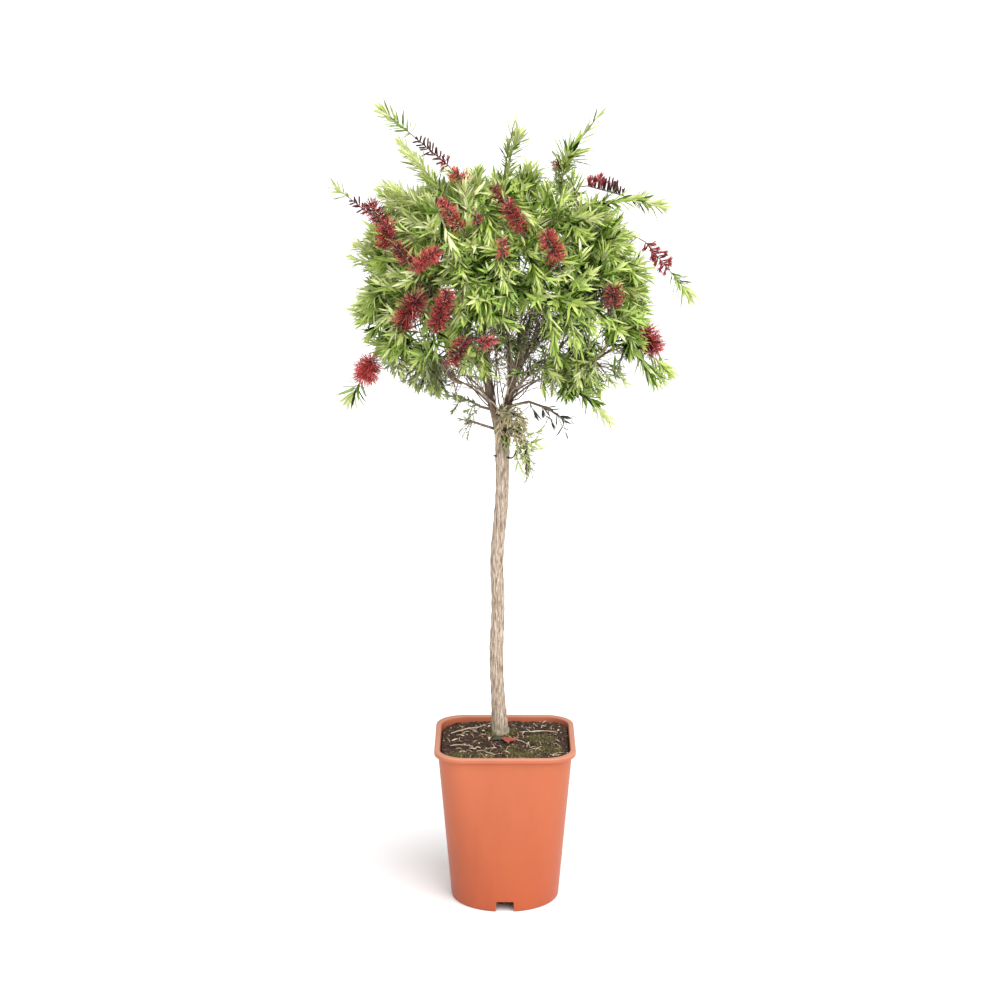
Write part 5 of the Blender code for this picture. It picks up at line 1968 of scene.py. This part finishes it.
def soil_height(x, y):
    """Height of the compost's surface."""
    out = math.hypot(x - FOOT.x, y - FOOT.y)
    rise = MOUND * math.exp(-((max(out - MOUND_TOP, 0) / (2 * MOUND_TOP)) ** 2))
    place = Vector((x, y, 0))
    (tall, slow), (low, fast) = SOIL_ROUGH
    rough = tall * noise.noise(place * slow) + low * noise.noise(place * fast + UP)
    return SOIL_LEVEL + SOIL_LIFT + SOIL_SLOPE * (x + y) + rise + rough


def build_soil():
    """The compost's surface: crumbly ground, closed below, and clear of the pot's wall."""
    bpy.ops.object.select_all(action="DESELECT")
    bpy.ops.mesh.primitive_grid_add(
        x_subdivisions=SOIL_GRID, y_subdivisions=SOIL_GRID, size=SOIL_PATCH
    )
    soil = bpy.context.active_object
    soil.name = "compost_bed"
    work_on("EDIT")
    pick(lambda corner: not inside_pot(corner.x, corner.y, SOIL_CLEAR))
    bpy.ops.mesh.delete(type="VERT")
    take_all()
    bpy.ops.mesh.extrude_region_move(TRANSFORM_OT_translate={"value": (0, 0, SOIL_THICK)})
    work_on("OBJECT")
    for corner in soil.data.vertices:
        if corner.co.z > SOIL_THICK / 2:
            corner.co.z = soil_height(corner.co.x, corner.co.y)
        else:
            corner.co.z = SOIL_LEVEL - SOIL_UNDER
    work_on("EDIT")
    take_all()
    bpy.ops.mesh.normals_make_consistent(inside=False)
    work_on("OBJECT")
    soil.data.shade_smooth()
    soil.data.materials.clear()
    soil.data.materials.append(FINISHES["compost"])
    belongs(soil, ["soil"])


def scatter(rng, margin):
    """A place on the compost, away from the trunk."""
    while True:
        x, y = rng.uniform(-0.1, 0.1), rng.uniform(-0.1, 0.1)
        clear = math.hypot(x - FOOT.x, y - FOOT.y) > FOOT_ROOM
        if clear and inside_pot(x, y, margin):
            return Vector((x, y, soil_height(x, y)))


def add_lump(name, middle, size, flatness, rng):
    """A broken crumb or chip: an eight-sided lump with every corner out of true."""
    turn = Matrix.Rotation(rng.uniform(0, math.tau), 3, "Z")
    turn = turn @ Matrix.Rotation(rng.gauss(0, 0.3), 3, "X")
    long = rng.uniform(1.0, 1.9)
    corners = []
    for x, y, z in ((1, 0, 0), (0, 1, 0), (-1, 0, 0), (0, -1, 0), (0, 0, 1), (0, 0, -1)):
        wild = [rng.uniform(0.6, 1.25) for _ in range(3)]
        corner = Vector((x * long * wild[0], y * wild[1], z * flatness * wild[2]))
        corner += Vector([rng.uniform(-0.25, 0.25) * part for part in (1, 1, flatness)])
        corners.append(tuple(middle + turn @ corner * size))
    faces = [(0, 1, 4), (1, 2, 4), (2, 3, 4), (3, 0, 4), (1, 0, 5), (2, 1, 5), (3, 2, 5), (0, 3, 5)]
    heap(name).add(corners, faces)


# Lumps strewn on the compost: name, number, margin to the wall, height over the ground, sizes,
# and flatness.
LUMPS = (
    ("crumbs", 2600, 0.002, 0.0, (0.0005, 0.0017), 0.8),
    ("chips", 240, 0.004, 0.001, (0.0016, 0.0042), 0.35),
    ("flakes", 230, 0.004, 0.0012, (0.0005, 0.0016), 0.30),
)
DRAIN_CRUMBS = 260  # behind each drain
STRAWS = 60
# Fallen twigs: where the two ends lie, and the radius.
FALLEN_TWIGS = (
    ((-0.086, 0.040), (-0.036, 0.052), 0.0011),
    ((-0.060, 0.060), (-0.048, 0.036), 0.0009),
    ((-0.086, -0.018), (-0.050, -0.026), 0.0009),
    ((0.040, 0.030), (0.084, 0.036), 0.0009),
)
# Cushions of moss: where the middle lies, the radius, and the number of blades.
MOSS = (
    (0.058, 0.004, 0.026, 620),
    (-0.074, -0.060, 0.020, 340),
    (0.030, -0.062, 0.030, 560),
    (0.010, -0.044, 0.020, 300),
    (-0.034, -0.064, 0.018, 180),
    (0.070, -0.040, 0.024, 420),
)
MOSS_AT_FOOT = 620
DEAD_LEAVES = 84  # a little under half of them bleached, the rest brown
BLEACHED_LEAVES = 40
# A red leaf lies by the trunk, and a dark dry one curls up beside it. Each is a few blades:
# the root over the ground there, then way, face, length, width and curl.
CURLED_LEAVES = {
    "red_leaf": (
        ((-0.006, -0.006, 0.0), 1, -0.30, 0.10, 0, -0.35, 1, 0.024, 0.008, 0.18),
        ((0.020, -0.006, 0.0), -0.8, -0.55, 0.02, 0.1, -0.3, 1, 0.022, 0.007, 0.12),
        ((-0.002, -0.010, 0.001), 0.5, -0.9, 0.0, 0, 0, 1, 0.018, 0.008, 0.1),
    ),
    "dark_leaf": (
        ((-0.020, -0.004, -0.001), 1, -0.15, 0.15, 0, -0.5, 1, 0.017, 0.007, 0.15),
        ((-0.004, -0.003, 0.0), -1, 0.1, 0.1, 0, -0.2, 1, 0.012, 0.005, 0.10),
    ),
}


def litter():
    """Crumbs, bark chips, straw, fallen twigs, moss and dead leaves on the compost."""
    rng = random.Random(LITTER_SEED)
    for quarter in range(4):
        turned = Matrix.Rotation(math.radians(90 * quarter), 3, "Z")
        for _ in range(DRAIN_CRUMBS):
            out = DRAIN_END + rng.uniform(0.001, 0.026)
            place = Vector((out, rng.uniform(-0.0125, 0.0125), rng.uniform(0.009, 0.0165)))
            add_lump("drain_compost", turned @ place, rng.uniform(0.0010, 0.0022), 0.8, rng)
    for name, number, margin, lift, sizes, flatness in LUMPS:
        for _ in range(number):
            middle = scatter(rng, margin) + UP * lift
            add_lump(name, middle, rng.uniform(*sizes), flatness, rng)
    for _ in range(STRAWS):
        start = scatter(rng, 0.012) + UP * 0.001
        turn = rng.uniform(0, math.tau)
        end = start + Vector((math.cos(turn), math.sin(turn), 0)) * rng.uniform(0.006, 0.022)
        end.z = soil_height(end.x, end.y) + 0.0015
        if inside_pot(end.x, end.y, 0.003):
            bow = start.lerp(end, 0.5) + UP * rng.uniform(0.0005, 0.003)
            add_tube("flakes", Limb([start, bow, end], [0.0006, 0.0005, 0.0003]), 4)
    for start, end, radius in FALLEN_TWIGS:
        ends = [Vector((x, y, soil_height(x, y) + 0.003)) for x, y in (start, end)]
        bow = ends[0].lerp(ends[1], 0.45) + Vector((0, 0.004, 0.003))
        twig = Limb(arc(ends[0], bow, ends[1], 8), spread(radius, radius * 0.6, 8))
        add_tube("fallen_twigs", twig, 6)
    moss_patches(rng)
    dead_leaves(rng)


def moss_patches(rng):
    """Cushions of moss: short blades on low swellings, densest round the trunk's foot."""
    seats = []
    for x, y, radius, number in MOSS:
        for _ in range(number):
            turn = rng.uniform(0, math.tau)
            out = radius * math.sqrt(rng.random()) * rng.uniform(0.5, 1.2)
            seats.append((x + out * math.cos(turn), y + out * 0.75 * math.sin(turn), 1.0))
    for _ in range(MOSS_AT_FOOT):
        turn, out = rng.uniform(0, math.tau), rng.uniform(0.0135, 0.024)
        seats.append((FOOT.x + out * math.cos(turn), FOOT.y + out * math.sin(turn), 1.25))
    rows = []
    for x, y, tall in seats:
        if inside_pot(x, y, 0.003):
            way = (rng.gauss(0, 0.5), rng.gauss(0, 0.5), 1)
            face = (rng.gauss(0, 1), rng.gauss(0, 1), 0.1)
            long = rng.uniform(0.0022, 0.0052) * tall
            rows.append((x, y, soil_height(x, y) - 0.0003, *way, *face, long, long * 0.38, 0.15))
    add_blades("moss", rows)


def dead_leaves(rng):
    """Fallen leaves: bleached and brown ones all over, a red and a dark one by the trunk."""
    rows = []
    for _ in range(DEAD_LEAVES):
        root = scatter(rng, 0.016) + UP * 0.0015
        turn = rng.uniform(0, math.tau)
        way = (math.cos(turn), math.sin(turn), rng.uniform(-0.05, 0.25))
        face = (rng.gauss(0, 0.3), rng.gauss(0, 0.3), 1)
        long, wide = rng.uniform(0.007, 0.019), rng.uniform(0.0020, 0.0036)
        rows.append((*root, *way, *face, long, wide, 0.1))
    add_blades("dead_leaves", rows[:BLEACHED_LEAVES])
    add_blades("brown_leaves", rows[BLEACHED_LEAVES:])
    lying = soil_height(0.006, -0.016) + 0.004
    for name, blades in CURLED_LEAVES.items():
        add_blades(name, [(x, y, z + lying, *rest) for (x, y, z), *rest in blades])


# ---------------------------------------------------------------- stage


def build_stage():
    """A pale floor, a white surround, one broad key light and the camera."""
    bpy.ops.object.select_all(action="DESELECT")
    bpy.ops.mesh.primitive_plane_add(size=FLOOR_SIZE, location=(0, 0, -0.0004))
    floor = bpy.context.active_object
    floor.name = "studio_floor"
    # Emulsion paint, rolled on in one coat: white and matt, with no pattern to be seen.
    paint = finish_of("painted_floor", ("FCFCFC", "FEFEFE"), 400, (0.85, 0.95), share=1.0)
    floor.data.materials.append(paint)
    world = bpy.data.worlds.new("studio")
    bpy.context.scene.world = world
    world.use_nodes = True
    sky = world.node_tree.nodes["Background"]
    sky.inputs["Color"].default_value = (1, 1, 1, 1)
    sky.inputs["Strength"].default_value = SKY
    key = bpy.data.lights.new("key", "SUN")
    key.energy = KEY
    key.angle = math.radians(KEY_SPREAD)
    lamp = bpy.data.objects.new("key", key)
    lamp.rotation_euler = (math.radians(90 - KEY_RISE), 0, math.radians(KEY_BEARING))
    bpy.context.scene.collection.objects.link(lamp)
    camera = bpy.data.cameras.new("camera")
    camera.lens = CAMERA_LENS
    camera.sensor_width = CAMERA_SENSOR
    seat = bpy.data.objects.new("camera", camera)
    seat.location = CAMERA_PLACE
    seat.rotation_euler = (math.radians(90 - CAMERA_PITCH), 0, 0)
    bpy.context.scene.collection.objects.link(seat)
    bpy.context.scene.camera = seat
    view = bpy.context.scene.view_settings
    view.view_transform = "Standard"
    view.look = "None"


# The leaves of each tone are gathered under the name of their finish.
HEAP_NAMES = {tone.replace("leaf", "leaves"): tone for tone in LEAF_SHADES}
# The pieces made of gathered shapes: name, finish, slot, and whether they are shaded smooth.
PIECES = (
    *((name, tone, "foliage", False) for name, tone in HEAP_NAMES.items()),
    ("boughs", "twig_bark", "bark", True),
    ("pale_stems", "straw", "bark", True),
    ("dark_stems", "dark_stem", "bark", True),
    ("stubs", "stub_bark", "bark", True),
    ("stems", "twig_bark", "bark", True),
    ("twigs", "twig_bark", "bark", True),
    ("green_twigs", "green_twig", "foliage", True),
    ("bare_twigs", "dead_twig", "bark", True),
    *((name, name, "foliage", False) for name in STAMEN_SHADES),
    ("pollen", "pollen", "foliage", False),
    ("buds", "buds", "foliage", True),
    ("red_buds", "red_buds", "foliage", True),
    ("capsules", "capsules", "foliage", True),
    ("crumbs", "compost", "compost", False),
    ("drain_compost", "compost", "compost", False),
    ("chips", "bark_chips", "compost", False),
    ("flakes", "straw", "compost", False),
    ("fallen_twigs", "straw", "compost", True),
    ("moss", "moss", "compost", False),
    ("dead_leaves", "straw", "compost", False),
    ("brown_leaves", "bark_chips", "compost", False),
    ("red_leaf", "red_leaf", "compost", False),
    ("dark_leaf", "leaf_slate", "compost", False),
)
TWIG_PIECES = ("stems", "twigs", "bare_twigs")  # wood that grows in the masses


def main():
    """Builds every piece."""
    make_finishes()
    build_stage()
    build_pot()
    build_soil()
    litter()
    limbs = {"trunk": Limb(spline(TRUNK_LINE, 15), spread(*TRUNK_RADIUS, 15))}
    for name, line in LIMB_LINES.items():
        limbs[name] = Limb(spline(line, LIMB_STATIONS), spread(*LIMB_RADIUS, LIMB_STATIONS))
    masses = plan_masses()
    plan_flowers(masses)
    plan_long_shoots(masses)
    plan_sprays(masses)
    plan_tips(masses, random.Random(TIP_SEED))
    grow_boughs(masses, limbs)
    build_wood(limbs, masses)
    foliage = Foliage(list(limbs.values()))
    grow_crown(masses, foliage)
    grow_beard(foliage)
    foliage.close()
    for name, finish, slot_name, smooth in PIECES:
        nodes = {"compost": ["soil"], "bark": WOOD_NODES}.get(slot_name, LEAF_NODES)
        nodes = LEAF_NODES if name in TWIG_PIECES else nodes
        HEAPS[HEAP_NAMES.get(name, name)].pieces(name, finish, nodes, slot_name, smooth)


main()
